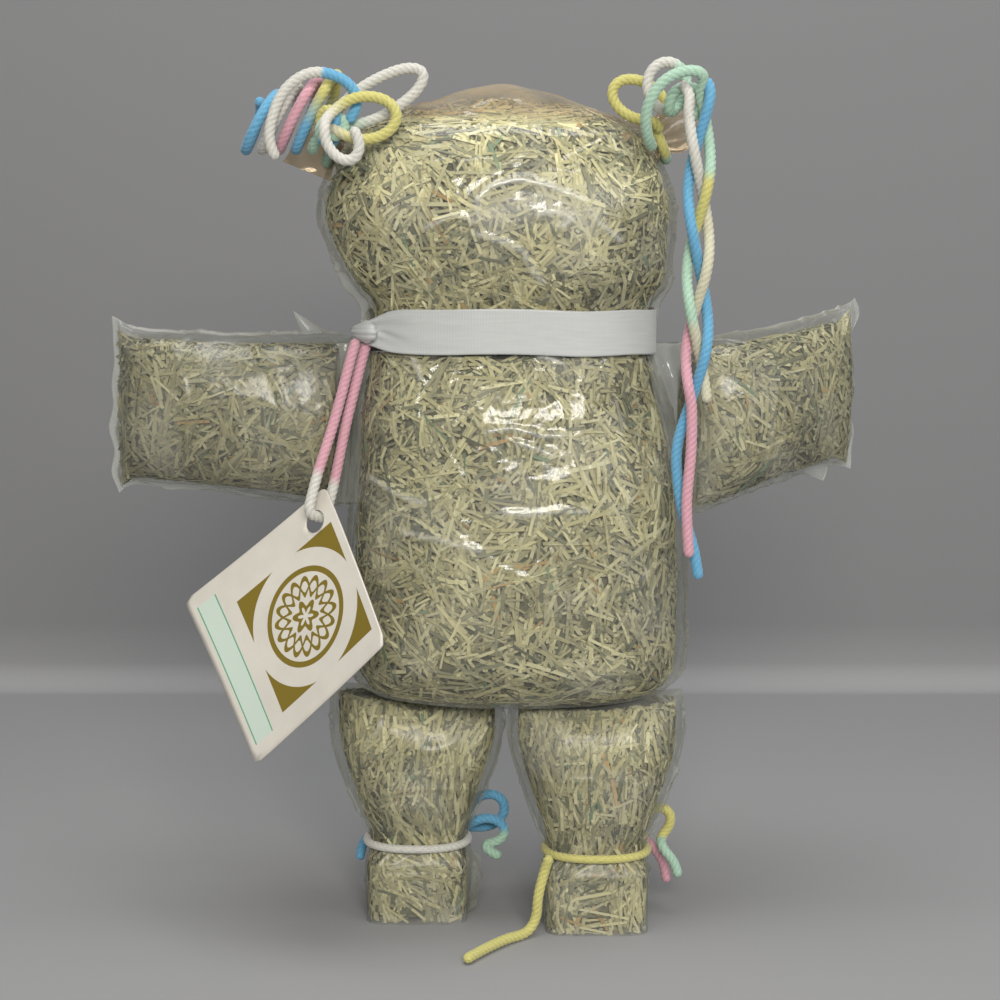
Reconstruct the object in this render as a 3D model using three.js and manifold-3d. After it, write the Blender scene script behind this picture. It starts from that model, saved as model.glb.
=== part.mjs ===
// A standing doll made of clear film pouches stuffed with shredded paper.
// The head, trunk, arms and legs are separate pouches that swell with their stuffing. Yarn ties off the
// head's two top corners and both ankles, a ribbon gathers the neck, and a card tag hangs from the ribbon.
// Millimetres, +Z up, the doll faces -Y and its left side in the text is at -X.
import * as THREE from 'three';
import { mergeVertices } from 'three/addons/utils/BufferGeometryUtils.js';
import Module from 'manifold-3d';

const wasm = await Module();
wasm.setup();

// Film, seals and clearances
const FILM = 0.2;
const STUFFING_GAP = 0.5;
const FIT = 0.3;
const SEAL_BAND = 3;
const SEAL_DEPTH = 0.8;
const MOUTH_TRIM = 0.3;

// Trunk pouch, from the neck down to the hem
const NECK_X = 1;
const TRUNK_X = 2.8;
const TRUNK_HEIGHT = 97;
const HEM_HEIGHT = 66;
const HEM_WIDTH = 80;
const HEM_DEPTH = 24;
const BELLY_WIDTH = 94;
const BELLY_DEPTH = 56;
const CHEST_WIDTH = 88;
const CHEST_DEPTH = 51;
const NECK_WIDTH = 77;
const NECK_DEPTH = 37;

// Head pouch, from the neck up to the crown's seal
const HEAD_X = -2.8;
const HEAD_HEIGHT = 69;
const STUB_WIDTH = 75;
const STUB_DEPTH = 29;
const STUB_SWELL = 1.5;
const FACE_WIDTH = 96;
const FACE_DEPTH = 56;
const CROWN_WIDTH = 26;
const CROWN_DEPTH = 1.6;
const NOD_RELIEF = THREE.MathUtils.degToRad(13);

// Tied corners of the head: how far each stands in from the face's side and below the crown, its lean and
// its droop past the tie
const EAR_WAIST = 8.4;
const EAR_TAB_WIDTH = 13;
const EAR_TAB_DEPTH = 4.6;
const EAR_ROOT = 12;
const EAR_LENGTH = 16;
const EAR_NECK = 5.4;
const LEFT_EAR_LEAN = THREE.MathUtils.degToRad(24);
const LEFT_EAR_DROOP = THREE.MathUtils.degToRad(62);
const RIGHT_EAR_LEAN = THREE.MathUtils.degToRad(26);
const LEFT_EAR_INSET = 6.4;
const LEFT_EAR_DROP = 14.3;
const RIGHT_EAR_INSET = 6.7;
const RIGHT_EAR_DROP = 13.3;

// Arm pouches: length from the shoulder to the sealed end, height of the sleeve, its root's slant, its climb on
// the way out and pose at rest
const ARM_DEPTH = 28;
const ARM_ROOT_HEIGHT = 47;
const ARM_END_HEIGHT = 42;
const ARM_SEAL_HEIGHT = 49;
const ARM_DROP = 19;
const LEFT_ARM_LENGTH = 66;
const RIGHT_ARM_LENGTH = 56;
const ARM_ROOT_SLANT = 0.09;
const LEFT_ARM_SLOPE = 0.07;
const RIGHT_ARM_SLOPE = 0.2;
const RIGHT_ARM_SWING = THREE.MathUtils.degToRad(26);

// Leg pouches, from the hip down to the flat sole
const LEG_DEPTH = 30;
const THIGH_WIDTH = 48;
const CALF_WIDTH = 36;
const ANKLE_WIDTH = 25.5;
const ANKLE_DEPTH = 18;
const FOOT_WIDTH = 29.5;
const FOOT_DEPTH = 22;
const ANKLE_HEIGHT = 22;
const LEG_SPACING = 51;
const LEG_MIDDLE_X = -0.2;
const LEFT_LEG_SETBACK = 7;
const RIGHT_LEG_SETBACK = -2;

// Ribbon round the neck, drawn together at a knot, and the card that hangs from it
const RIBBON_WIDTH = 12;
const RIBBON_THICK = 0.5;
const RIBBON_GATHER = 6.5;
const RIBBON_DROP = 1;
const RIBBON_SLACK = 0.6;
const GATHER_SPAN = THREE.MathUtils.degToRad(16);
const KNOT_TURN = THREE.MathUtils.degToRad(197);
const KNOT_WIDTH = 7;
const KNOT_HEIGHT = 8.6;
const TAG_SIDE = 54;
const TAG_THICK = 0.6;
const TAG_CORNER = 2;
const TAG_HOLE = 6.4;
const TAG_HOLE_INSET = 7;
const TAG_STEP = new THREE.Vector3(-9.3, -5.8, -41.3);
const TAG_RIGHT = new THREE.Vector3(0.382, -0.62, -0.685);
const TAG_UP = new THREE.Vector3(0.709, -0.279, 0.648);

// Yarn: its thickness, the wound loops of the left pigtail, the open loops and the braid
const YARN = 2.8;
const PIGTAIL_TURNS = 4.625;
const PIGTAIL_PITCH = 4.4;
const PIGTAIL_LEAN = 0.46;
const PIGTAIL_SHORT = 13;
const PIGTAIL_TALL = 21;
const PIGTAIL_DEEP = 14;
const PIGTAIL_STEP = new THREE.Vector3(-4.8, -11.6, -2.92);
const LEFT_LOOPS_STEP = new THREE.Vector3(1.17, -17.4, 3.78);
const LOOP_STEP = 6.4;
const LOOP_OPEN = THREE.MathUtils.degToRad(32);
const BRAID_OUT = 8.76;
const BRAID_FRONT = 27.5;
const BRAID_RISE = 9.51;
const BRAID_LENGTH = 79.5;
const BRAID_SPREAD = 2.8;
const BRAID_DEEP = 2.5;
const BRAID_PERIOD = 64;

// Facets
const SIDES = 20;
const YARN_SIDES = 6;
const LOOP_STEPS = 24;
const BAND_STEPS = 40;
const CARD_STEPS = 6;
const ROUND_POWER = 2.25;
const BOX_POWER = 3.6;
const PILLOW_POWER = 2.6;
const PILLOW_EDGE = 0.75;
const TRUNK_STATIONS = [0, 0.05, 0.11, 0.2, 0.34, 0.5, 0.66, 0.8, 0.9, 0.96, 0.993, 1];
const HEAD_STATIONS = [0, 0.1, 0.18, 0.28, 0.4, 0.54, 0.68, 0.79, 0.88, 0.95, 1];

const NECK_HEIGHT = HEM_HEIGHT + TRUNK_HEIGHT;
const HEAD_BASE = NECK_HEIGHT + FIT;
const LEFT_EAR = {
  x: HEAD_X - FACE_WIDTH / 2 + LEFT_EAR_INSET,
  z: HEAD_BASE + HEAD_HEIGHT - LEFT_EAR_DROP,
  lean: LEFT_EAR_LEAN,
  droop: LEFT_EAR_DROOP,
};
const RIGHT_EAR = {
  x: HEAD_X + FACE_WIDTH / 2 - RIGHT_EAR_INSET,
  z: HEAD_BASE + HEAD_HEIGHT - RIGHT_EAR_DROP,
  lean: RIGHT_EAR_LEAN,
  droop: 0,
};
const ARM_ROUND = ARM_DEPTH / 2;
const LEG_ROUND = LEG_DEPTH / 2;
const HIP_HEIGHT = HEM_HEIGHT - FIT - LEG_ROUND;
const LEG_LENGTH = HEM_HEIGHT - FIT;
const STUFFING_INSET = FILM + STUFFING_GAP;
const UP = new THREE.Vector3(0, 0, 1);

const FINISH = {
  film: { color: 0xdfe3dc, roughness: 0.12, metalness: 0 },
  shreds: { color: 0xb7b18a, roughness: 0.9, metalness: 0 },
  ribbon: { color: 0xc3c9cb, roughness: 0.4, metalness: 0 },
  card: { color: 0xe6e0da, roughness: 0.6, metalness: 0 },
  white: { color: 0xdddad3, roughness: 0.95, metalness: 0 },
  pink: { color: 0xd9a0ae, roughness: 0.95, metalness: 0 },
  blue: { color: 0x5aa5d8, roughness: 0.95, metalness: 0 },
  yellow: { color: 0xd9d468, roughness: 0.95, metalness: 0 },
  mint: { color: 0xb9dcc0, roughness: 0.95, metalness: 0 },
};

// Closed solids

function outward(geometry) {
  // A merged copy whose faces point out, judged by the sign of its volume.
  const bare = geometry.clone();
  bare.deleteAttribute('normal');
  bare.deleteAttribute('uv');
  const merged = mergeVertices(bare, 1e-4);
  const position = merged.getAttribute('position');
  const index = Array.from(merged.index.array);
  const corner = [0, 1, 2].map(() => new THREE.Vector3());
  let volume = 0;
  for (let i = 0; i < index.length; i += 3) {
    corner.forEach((point, k) => point.fromBufferAttribute(position, index[i + k]));
    volume += corner[0].dot(corner[1].clone().cross(corner[2])) / 6;
  }
  merged.setIndex(volume < 0 ? index.reverse() : index);
  return merged;
}

function toSolid(geometry) {
  const merged = outward(geometry);
  const vertProperties = new Float32Array(merged.getAttribute('position').array);
  const triVerts = new Uint32Array(merged.index.array);
  return new wasm.Manifold(new wasm.Mesh({ numProp: 3, vertProperties, triVerts }));
}

function toGeometry(solid) {
  const { vertProperties, triVerts } = solid.getMesh();
  const geometry = new THREE.BufferGeometry();
  geometry.setAttribute('position', new THREE.Float32BufferAttribute(vertProperties, 3));
  geometry.setIndex(Array.from(triVerts));
  return geometry;
}

function skin(rings, closed = false) {
  // Faces between rings of equal count, with the two ends fanned shut unless the rings close on themselves.
  const count = rings[0].length;
  const points = rings.flat();
  const index = [];
  const bands = closed ? rings.length : rings.length - 1;
  for (let i = 0; i < bands; i += 1) {
    const next = (i + 1) % rings.length;
    for (let k = 0; k < count; k += 1) {
      const turn = (k + 1) % count;
      index.push(i * count + k, i * count + turn, next * count + turn);
      index.push(i * count + k, next * count + turn, next * count + k);
    }
  }
  if (!closed) {
    [0, rings.length - 1].forEach((end) => {
      const middle = points.length;
      const centre = new THREE.Vector3();
      rings[end].forEach((point) => centre.addScaledVector(point, 1 / count));
      if (end === 0) centre.z = (rings[0][0].z + rings[0][Math.floor(count / 2)].z) / 2;
      points.push(centre);
      for (let k = 0; k < count; k += 1) {
        const turn = (k + 1) % count;
        const fan = [end * count + k, middle, end * count + turn];
        index.push(...(end === 0 ? fan : fan.reverse()));
      }
    });
  }
  const geometry = new THREE.BufferGeometry().setFromPoints(points);
  geometry.setIndex(index);
  return geometry;
}

function smooth(knots) {
  // Monotone cubic through [place, value] knots: no overshoot between them.
  const secant = knots.slice(1).map(([s, v], i) => (v - knots[i][1]) / (s - knots[i][0]));
  const slope = knots.map((knot, i) => {
    const before = secant[Math.max(i - 1, 0)];
    const after = secant[Math.min(i, secant.length - 1)];
    return before * after > 0 ? (2 * before * after) / (before + after) : 0;
  });
  return (s) => {
    const last = knots.length - 2;
    const found = knots.findIndex(([place], i) => i > 0 && s <= place);
    const i = found < 1 ? (s <= knots[0][0] ? 0 : last) : found - 1;
    const width = knots[i + 1][0] - knots[i][0];
    const t = THREE.MathUtils.clamp((s - knots[i][0]) / width, 0, 1);
    const rise = t * t * (3 - 2 * t);
    const ends = knots[i][1] * (1 - rise) + knots[i + 1][1] * rise;
    return ends + width * t * (1 - t) * (slope[i] * (1 - t) - slope[i + 1] * t);
  };
}

function section(z, { halfWidth, halfDepth, power, shift = 0, relief = 0, slant = 0 }, count) {
  // A rounded-box outline: |x / halfWidth|^power + |y / halfDepth|^power = 1.
  return Array.from({ length: count }, (unused, k) => {
    const turn = (2 * Math.PI * k) / count;
    const c = Math.cos(turn);
    const s = Math.sin(turn);
    const x = halfWidth * Math.sign(c) * Math.abs(c) ** (2 / power);
    const y = halfDepth * Math.sign(s) * Math.abs(s) ** (2 / power);
    return new THREE.Vector3(x + shift, y, z + Math.abs(y) * relief + Math.min(x, 0) * slant);
  });
}

function outlineFrame(turn, halfWidth, halfDepth) {
  // One point of a pouch's round outline and the direction out of the outline there.
  const c = Math.cos(turn);
  const s = Math.sin(turn);
  const x = halfWidth * Math.sign(c) * Math.abs(c) ** (2 / ROUND_POWER);
  const y = halfDepth * Math.sign(s) * Math.abs(s) ** (2 / ROUND_POWER);
  const out = new THREE.Vector3(x / halfWidth ** 2, y / halfDepth ** 2, 0).normalize();
  return { point: new THREE.Vector3(x, y, 0), out };
}

function spread(from, to, count) {
  return Array.from({ length: count + 1 }, (unused, i) => from + ((to - from) * i) / count);
}

// Pouches. Each starts at its open mouth, where z is 0, and ends at a seal, hem or sole.

function pouch({ shape, stations, floor }) {
  const outer = toSolid(skin(stations.map((z) => section(z, shape(z, 0), SIDES))));
  const end = stations[stations.length - 1] - floor;
  const inside = [...stations.filter((z) => z < end - FILM), end];
  const mouth = section(stations[0] - 1, shape(stations[0], FILM), SIDES);
  const inner = toSolid(skin([mouth, ...inside.map((z) => section(z, shape(z, FILM), SIDES))]));
  return { outer, inner };
}

function stuffing({ shape, stations, from, to }) {
  // The packed shreds share the film's stations, so that their facets run side by side.
  const between = stations.filter((z) => z > from + FIT && z < to - FIT);
  return skin([from, ...between, to].map((z) => section(z, shape(z, STUFFING_INSET), SIDES)));
}

const trunkHalfWidth = smooth([
  [0, NECK_WIDTH / 2],
  [TRUNK_HEIGHT * 0.22, CHEST_WIDTH / 2],
  [TRUNK_HEIGHT * 0.68, BELLY_WIDTH / 2],
  [TRUNK_HEIGHT * 0.9, BELLY_WIDTH * 0.495],
  [TRUNK_HEIGHT * 0.965, BELLY_WIDTH * 0.467],
  [TRUNK_HEIGHT, HEM_WIDTH / 2],
]);
const trunkHalfDepth = smooth([
  [0, NECK_DEPTH / 2],
  [TRUNK_HEIGHT * 0.2, CHEST_DEPTH / 2],
  [TRUNK_HEIGHT * 0.6, BELLY_DEPTH / 2],
  [TRUNK_HEIGHT * 0.88, BELLY_DEPTH * 0.43],
  [TRUNK_HEIGHT, HEM_DEPTH / 2],
]);

function neckLean(middle, z) {
  // The trunk and the head stand a little to either side of the neck that joins them.
  return (NECK_X - middle) * (1 - THREE.MathUtils.smoothstep(z, RIBBON_WIDTH, RIBBON_WIDTH * 3));
}

function trunkShape(z, inset) {
  const halfWidth = trunkHalfWidth(z) - inset;
  const halfDepth = trunkHalfDepth(z) - inset;
  return { halfWidth, halfDepth, power: ROUND_POWER, shift: neckLean(TRUNK_X, z) };
}

const headHalfWidth = smooth([
  [0, STUB_WIDTH / 2],
  [RIBBON_WIDTH, STUB_WIDTH / 2 + FILM],
  [HEAD_HEIGHT * 0.54, FACE_WIDTH / 2],
  [HEAD_HEIGHT * 0.8, FACE_WIDTH * 0.43],
  [HEAD_HEIGHT * 0.93, FACE_WIDTH * 0.3],
  [HEAD_HEIGHT, CROWN_WIDTH / 2],
]);
const headHalfDepth = smooth([
  [0, STUB_DEPTH / 2],
  [RIBBON_WIDTH, STUB_DEPTH / 2 + STUB_SWELL],
  [HEAD_HEIGHT * 0.56, FACE_DEPTH / 2],
  [HEAD_HEIGHT * 0.8, FACE_DEPTH * 0.42],
  [HEAD_HEIGHT * 0.93, FACE_DEPTH * 0.22],
  [HEAD_HEIGHT, CROWN_DEPTH / 2],
]);

function headShape(z, inset) {
  // The stub rises away from the neck on both sides of the nod axis, so that the head can rock there.
  const relief = z < FIT ? Math.tan(NOD_RELIEF) : 0;
  const halfDepth = Math.max(headHalfDepth(z) - inset, CROWN_DEPTH / 4);
  const halfWidth = headHalfWidth(z) - inset;
  return { halfWidth, halfDepth, power: ROUND_POWER, relief, shift: neckLean(HEAD_X, z) };
}

function roundedRoot(z, round, inset) {
  // Half depth of a root that is round about its hinge axis, which lies one radius in from the mouth.
  return Math.sqrt(Math.max((round - inset) ** 2 - (round - z) ** 2, FILM ** 2));
}

function armShape(length, slope) {
  // The sleeve climbs by its slope on the way out. Its root slants with the trunk's side below its middle.
  const swell = length - SEAL_BAND - ARM_ROUND;
  const height = smooth([
    [0, ARM_ROOT_HEIGHT / 2],
    [length * 0.7, ARM_END_HEIGHT / 2],
    [length - SEAL_BAND * 2, ARM_END_HEIGHT / 2],
    [length, ARM_SEAL_HEIGHT / 2],
  ]);
  return (z, inset) => {
    const along = THREE.MathUtils.clamp((z - ARM_ROUND) / swell, 0, 1);
    const swollen = (ARM_ROUND - SEAL_DEPTH / 2) * (1 - along ** PILLOW_POWER) ** PILLOW_EDGE;
    const pillow = Math.max(SEAL_DEPTH / 2 + swollen - inset, SEAL_DEPTH / 4);
    const halfDepth = z < ARM_ROUND ? roundedRoot(z, ARM_ROUND, inset) : pillow;
    const shift = slope * (z - ARM_ROUND);
    const slant = -ARM_ROOT_SLANT * (1 - THREE.MathUtils.smoothstep(z, 0, ARM_DEPTH));
    return { halfWidth: height(z) - inset, halfDepth, power: ROUND_POWER, shift, slant };
  };
}

const ankleAt = LEG_LENGTH - ANKLE_HEIGHT;
const footAt = ankleAt + YARN * 2;
const legHalfWidth = smooth([
  [0, THIGH_WIDTH / 2],
  [LEG_ROUND * 0.6, THIGH_WIDTH / 2],
  [ankleAt * 0.68, CALF_WIDTH / 2],
  [ankleAt, ANKLE_WIDTH / 2],
  [footAt, FOOT_WIDTH / 2],
  [LEG_LENGTH, FOOT_WIDTH / 2 - FILM],
]);
const legHalfDepth = smooth([
  [LEG_ROUND, LEG_ROUND],
  [ankleAt * 0.7, LEG_ROUND * 0.84],
  [ankleAt, ANKLE_DEPTH / 2],
  [footAt, FOOT_DEPTH / 2],
  [LEG_LENGTH, FOOT_DEPTH / 2],
]);

function legShape(z, inset) {
  const halfDepth = z < LEG_ROUND ? roundedRoot(z, LEG_ROUND, inset) : legHalfDepth(z) - inset;
  const boxy = THREE.MathUtils.smoothstep(z, ankleAt, footAt);
  const power = THREE.MathUtils.lerp(ROUND_POWER, BOX_POWER, boxy);
  return { halfWidth: legHalfWidth(z) - inset, halfDepth, power };
}

function rootStations(round) {
  // Even turns around the rounded root, from its trimmed mouth to its full depth.
  const start = Math.acos(1 - MOUTH_TRIM / round);
  return spread(start, Math.PI / 2, 4).map((turn) => round * (1 - Math.cos(turn)));
}

// Tied corners of the head

function earFrame({ x, z, lean, droop }, side, step) {
  // A point on the ear's middle line, and the directions along and across the ear there.
  const past = Math.max(step - EAR_NECK, 0);
  const bend = lean - droop * Math.min(past / EAR_NECK, 1);
  const along = new THREE.Vector3(side * Math.cos(bend), 0, Math.sin(bend));
  const across = new THREE.Vector3(-Math.sin(bend) * side, 0, Math.cos(bend));
  const at = new THREE.Vector3(x, 0, z)
    .addScaledVector(new THREE.Vector3(side * Math.cos(lean), 0, Math.sin(lean)), step - past)
    .addScaledVector(along, past);
  return { along, across, at };
}

function earRings(ear, side, inset) {
  const deep = new THREE.Vector3(0, 1, 0);
  const waist = EAR_WAIST / 2 - inset;
  const tab = EAR_TAB_WIDTH / 2 - inset;
  const stops = [
    [-EAR_ROOT, waist, waist],
    [0, waist, waist],
    [EAR_NECK, waist, waist],
    [EAR_LENGTH * 0.6, tab, EAR_TAB_DEPTH / 2 - inset],
    [EAR_LENGTH - SEAL_BAND, tab, SEAL_DEPTH / 2 + FILM - inset],
  ];
  if (inset === 0) stops.push([EAR_LENGTH, tab, SEAL_DEPTH / 2]);
  return stops.map(([step, wide, thick]) => {
    const { at, across } = earFrame(ear, side, step);
    return Array.from({ length: SIDES / 2 }, (unused, k) => {
      const turn = (4 * Math.PI * k) / SIDES;
      return at.clone()
        .addScaledVector(across, wide * Math.cos(turn))
        .addScaledVector(deep, thick * Math.sin(turn));
    });
  });
}

function endFan(rings) {
  // The ears' rings stand upright, so their end fans use plain centres.
  const count = rings[0].length;
  const points = rings.flat();
  const bare = skin(rings);
  [0, rings.length - 1].forEach((end, which) => {
    const centre = new THREE.Vector3();
    rings[end].forEach((point) => centre.addScaledVector(point, 1 / count));
    bare.getAttribute('position').setXYZ(points.length + which, centre.x, centre.y, centre.z);
  });
  return bare;
}

// Yarn

function yarnPath(points) {
  const path = new THREE.CatmullRomCurve3(points, false, 'centripetal');
  path.arcLengthDivisions = points.length * 24;
  return path;
}

function tube(points, steps) {
  const shape = new THREE.Shape().absarc(0, 0, YARN / 2, 0, 2 * Math.PI);
  const extrudePath = yarnPath(points);
  const options = { steps, extrudePath, curveSegments: YARN_SIDES / 2, bevelEnabled: false };
  return outward(new THREE.ExtrudeGeometry(shape, options));
}

function leastGap(name, points) {
  // Least clear distance between parts of one yarn that lie over three diameters apart along it.
  const path = yarnPath(points);
  const count = Math.ceil(path.getLength());
  const dots = path.getSpacedPoints(count);
  const skip = Math.ceil((3 * YARN * count) / path.getLength());
  let least = Infinity;
  for (let i = 0; i < dots.length; i += 1) {
    for (let j = i + skip; j < dots.length; j += 1) {
      least = Math.min(least, dots[i].distanceTo(dots[j]));
    }
  }
  console.log(`${name}: least gap of the yarn to itself ${(least - YARN).toFixed(2)} mm`);
}

function ringAround(centre, along, wide, deep) {
  // A closed ring of yarn round a pouch's waist, at right angles to the direction along.
  const face = new THREE.Vector3(0, 1, 0);
  const side = new THREE.Vector3().crossVectors(face, along).normalize();
  const rings = Array.from({ length: LOOP_STEPS }, (unused, k) => {
    const { point, out } = outlineFrame((2 * Math.PI * k) / LOOP_STEPS, wide, deep);
    const spoke = new THREE.Vector3().addScaledVector(side, out.x).addScaledVector(face, out.y);
    const at = centre.clone().addScaledVector(side, point.x).addScaledVector(face, point.y);
    return Array.from({ length: YARN_SIDES }, (none, j) => {
      const roll = (2 * Math.PI * j) / YARN_SIDES;
      return at.clone()
        .addScaledVector(spoke, (Math.cos(roll) * YARN) / 2)
        .addScaledVector(along, (Math.sin(roll) * YARN) / 2);
    });
  });
  return outward(skin(rings, true));
}

function petals(base, hand, loops) {
  // Open loops that leave one base in turn, so many yarn thicknesses long and wide. Each lies flat, a step
  // nearer the viewer than the last, and the yarn crosses over behind the base from one loop to the next.
  const points = [];
  const place = base.clone();
  loops.forEach(({ heading, long, wide }, n) => {
    const out = new THREE.Vector3(Math.cos(heading), 0, Math.sin(heading));
    const across = new THREE.Vector3(-Math.sin(heading), 0, Math.cos(heading)).multiplyScalar(hand);
    const last = n === loops.length - 1;
    spread(LOOP_OPEN, 2 * Math.PI - LOOP_OPEN * (last ? 2.4 : 1), 8).forEach((turn) => {
      points.push(place.clone()
        .addScaledVector(out, (YARN * long * (1 - Math.cos(turn))) / 2)
        .addScaledVector(across, (YARN * wide * Math.sin(turn)) / 2));
    });
    place.y -= LOOP_STEP;
    if (!last) {
      points.push(place.clone().addScaledVector(out, -YARN / 2).setY(place.y + LOOP_STEP / 2));
    }
  });
  return points;
}

// Assembly helpers

const doll = new THREE.Group();

function add(parent, name, geometry, finish) {
  geometry.computeVertexNormals();
  const mesh = new THREE.Mesh(geometry, new THREE.MeshStandardMaterial(FINISH[finish]));
  mesh.name = name;
  parent.add(mesh);
  return mesh;
}

function pivot(position, x, y, z) {
  const group = new THREE.Group();
  group.position.copy(position);
  group.quaternion.setFromRotationMatrix(new THREE.Matrix4().makeBasis(x, y, z));
  doll.add(group);
  return group;
}

// Trunk and head

const trunk = pivot(
  new THREE.Vector3(TRUNK_X, 0, NECK_HEIGHT),
  new THREE.Vector3(1, 0, 0),
  new THREE.Vector3(0, -1, 0),
  new THREE.Vector3(0, 0, -1),
);
const trunkStations = TRUNK_STATIONS.map((share) => share * TRUNK_HEIGHT);
const trunkPouch = pouch({ shape: trunkShape, stations: trunkStations, floor: FILM });
add(trunk, 'torso_film', toGeometry(trunkPouch.outer.subtract(trunkPouch.inner)), 'film');
add(trunk, 'torso_shreds', stuffing({
  shape: trunkShape, stations: trunkStations, from: FIT, to: TRUNK_HEIGHT - STUFFING_INSET,
}), 'shreds');

const head = pivot(
  new THREE.Vector3(HEAD_X, 0, HEAD_BASE),
  new THREE.Vector3(1, 0, 0),
  new THREE.Vector3(0, 1, 0),
  UP,
);
const headStations = HEAD_STATIONS.map((share) => share * HEAD_HEIGHT);
const headPouch = pouch({ shape: headShape, stations: headStations, floor: SEAL_BAND / 2 });
const ears = [[LEFT_EAR, -1], [RIGHT_EAR, 1]];
const toHead = (solid) => solid.translate([-HEAD_X, 0, -HEAD_BASE]);
const earSkins = ears.map(([ear, side]) => toHead(toSolid(endFan(earRings(ear, side, 0)))));
const earHollows = ears.map(([ear, side]) => toHead(toSolid(endFan(earRings(ear, side, FILM)))));
const headOuter = earSkins.reduce((whole, ear) => whole.add(ear), headPouch.outer);
const headInner = earHollows.reduce((whole, ear) => whole.add(ear), headPouch.inner);
add(head, 'head_film', toGeometry(headOuter.subtract(headInner)), 'film');
add(head, 'head_shreds', stuffing({
  shape: headShape, stations: headStations, from: FIT / 2, to: headStations.at(-2),
}), 'shreds');

// Arms, each hinged on the line where its rounded root lies against the trunk's side

function shoulderReach(side, slope) {
  // How far out the hinge stands for the slanted root to lie against the trunk's side.
  const needs = spread(-ARM_ROOT_HEIGHT / 2, ARM_ROOT_HEIGHT / 2, 200).map((rise) => {
    const z = Math.max(ARM_DROP + slope * ARM_ROUND - rise, 0);
    return trunkHalfWidth(z) + side * neckLean(TRUNK_X, z) + ARM_ROOT_SLANT * Math.min(rise, 0);
  });
  return Math.max(...needs) + ARM_ROUND - MOUTH_TRIM + FIT;
}

function arm(name, side, length, slope, swing) {
  const out = new THREE.Vector3(side, 0, 0);
  const reach = shoulderReach(side, slope);
  const place = new THREE.Vector3(TRUNK_X, 0, NECK_HEIGHT - ARM_DROP).addScaledVector(out, reach);
  const group = pivot(place, UP, new THREE.Vector3().crossVectors(out, UP), out);
  group.rotateX(swing);
  const shape = armShape(length, slope);
  const stations = [
    ...rootStations(ARM_ROUND),
    ...spread(ARM_ROUND, length - SEAL_BAND * 2, 5).slice(1),
    length - SEAL_BAND,
    length,
  ];
  const { outer, inner } = pouch({ shape, stations, floor: SEAL_BAND });
  add(group, `${name}_film`, toGeometry(outer.subtract(inner)), 'film').position.z = -ARM_ROUND;
  const packed = stuffing({ shape, stations, from: STUFFING_INSET + FIT, to: stations.at(-3) });
  add(group, `${name}_shreds`, packed, 'shreds').position.z = -ARM_ROUND;
  return place;
}

arm('left_arm', -1, LEFT_ARM_LENGTH, LEFT_ARM_SLOPE, 0);
arm('right_arm', 1, RIGHT_ARM_LENGTH, RIGHT_ARM_SLOPE, RIGHT_ARM_SWING);

// Legs, each hinged under the hem, with the yarn tie in its ankle

const ankleWide = ANKLE_WIDTH / 2 + FIT * 2 + YARN / 2;
const ankleDeep = ANKLE_DEPTH / 2 + FIT * 2 + YARN / 2;

function leg(name, x, y, finish) {
  const group = pivot(
    new THREE.Vector3(x, y, HIP_HEIGHT),
    new THREE.Vector3(1, 0, 0),
    new THREE.Vector3(0, -1, 0),
    new THREE.Vector3(0, 0, -1),
  );
  const stations = [
    ...rootStations(LEG_ROUND),
    ...spread(LEG_ROUND, ankleAt - YARN, 3).slice(1),
    ankleAt,
    ankleAt + YARN,
    footAt,
    LEG_LENGTH,
  ];
  const { outer, inner } = pouch({ shape: legShape, stations, floor: FILM });
  add(group, `${name}_leg_film`, toGeometry(outer.subtract(inner)), 'film').position.z = -LEG_ROUND;
  const packed = stuffing({
    shape: legShape, stations, from: STUFFING_INSET + FIT, to: LEG_LENGTH - STUFFING_INSET,
  });
  add(group, `${name}_leg_shreds`, packed, 'shreds').position.z = -LEG_ROUND;
  const centre = new THREE.Vector3(x, y, ANKLE_HEIGHT);
  const ring = ringAround(centre, UP, ankleWide, ankleDeep);
  add(doll, `${name}_ankle_tie`, ring, finish);
  return centre;
}

const leftAnkle = leg('left', LEG_MIDDLE_X - LEG_SPACING / 2, LEFT_LEG_SETBACK, 'white');
const rightAnkle = leg('right', LEG_MIDDLE_X + LEG_SPACING / 2, RIGHT_LEG_SETBACK, 'yellow');

// Ribbon and its knot, carried by the trunk's neck

const ribbonHeight = NECK_HEIGHT - RIBBON_DROP + RIBBON_WIDTH / 2;
const ribbonWide = NECK_WIDTH / 2 + RIBBON_SLACK + RIBBON_THICK / 2;
const ribbonDeep = NECK_DEPTH / 2 + RIBBON_SLACK + RIBBON_THICK / 2;

function ribbonFrame(turn) {
  // A point on the ribbon's middle line and the direction out of its face there.
  const { point, out } = outlineFrame(turn, ribbonWide, ribbonDeep);
  return { at: point.add(new THREE.Vector3(NECK_X, 0, ribbonHeight)), out };
}

const ribbonRings = Array.from({ length: BAND_STEPS }, (unused, k) => {
  const turn = (2 * Math.PI * k) / BAND_STEPS;
  const { at, out } = ribbonFrame(turn);
  const near = Math.exp(-(((turn - KNOT_TURN) / GATHER_SPAN) ** 2));
  const half = THREE.MathUtils.lerp(RIBBON_WIDTH, RIBBON_GATHER, near) / 2;
  return [[1, -1], [1, 1], [-1, 1], [-1, -1]].map(([face, edge]) => (
    at.clone().addScaledVector(out, (face * RIBBON_THICK) / 2).addScaledVector(UP, edge * half)
  ));
});
add(doll, 'neck_ribbon', outward(skin(ribbonRings, true)), 'ribbon');

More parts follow.
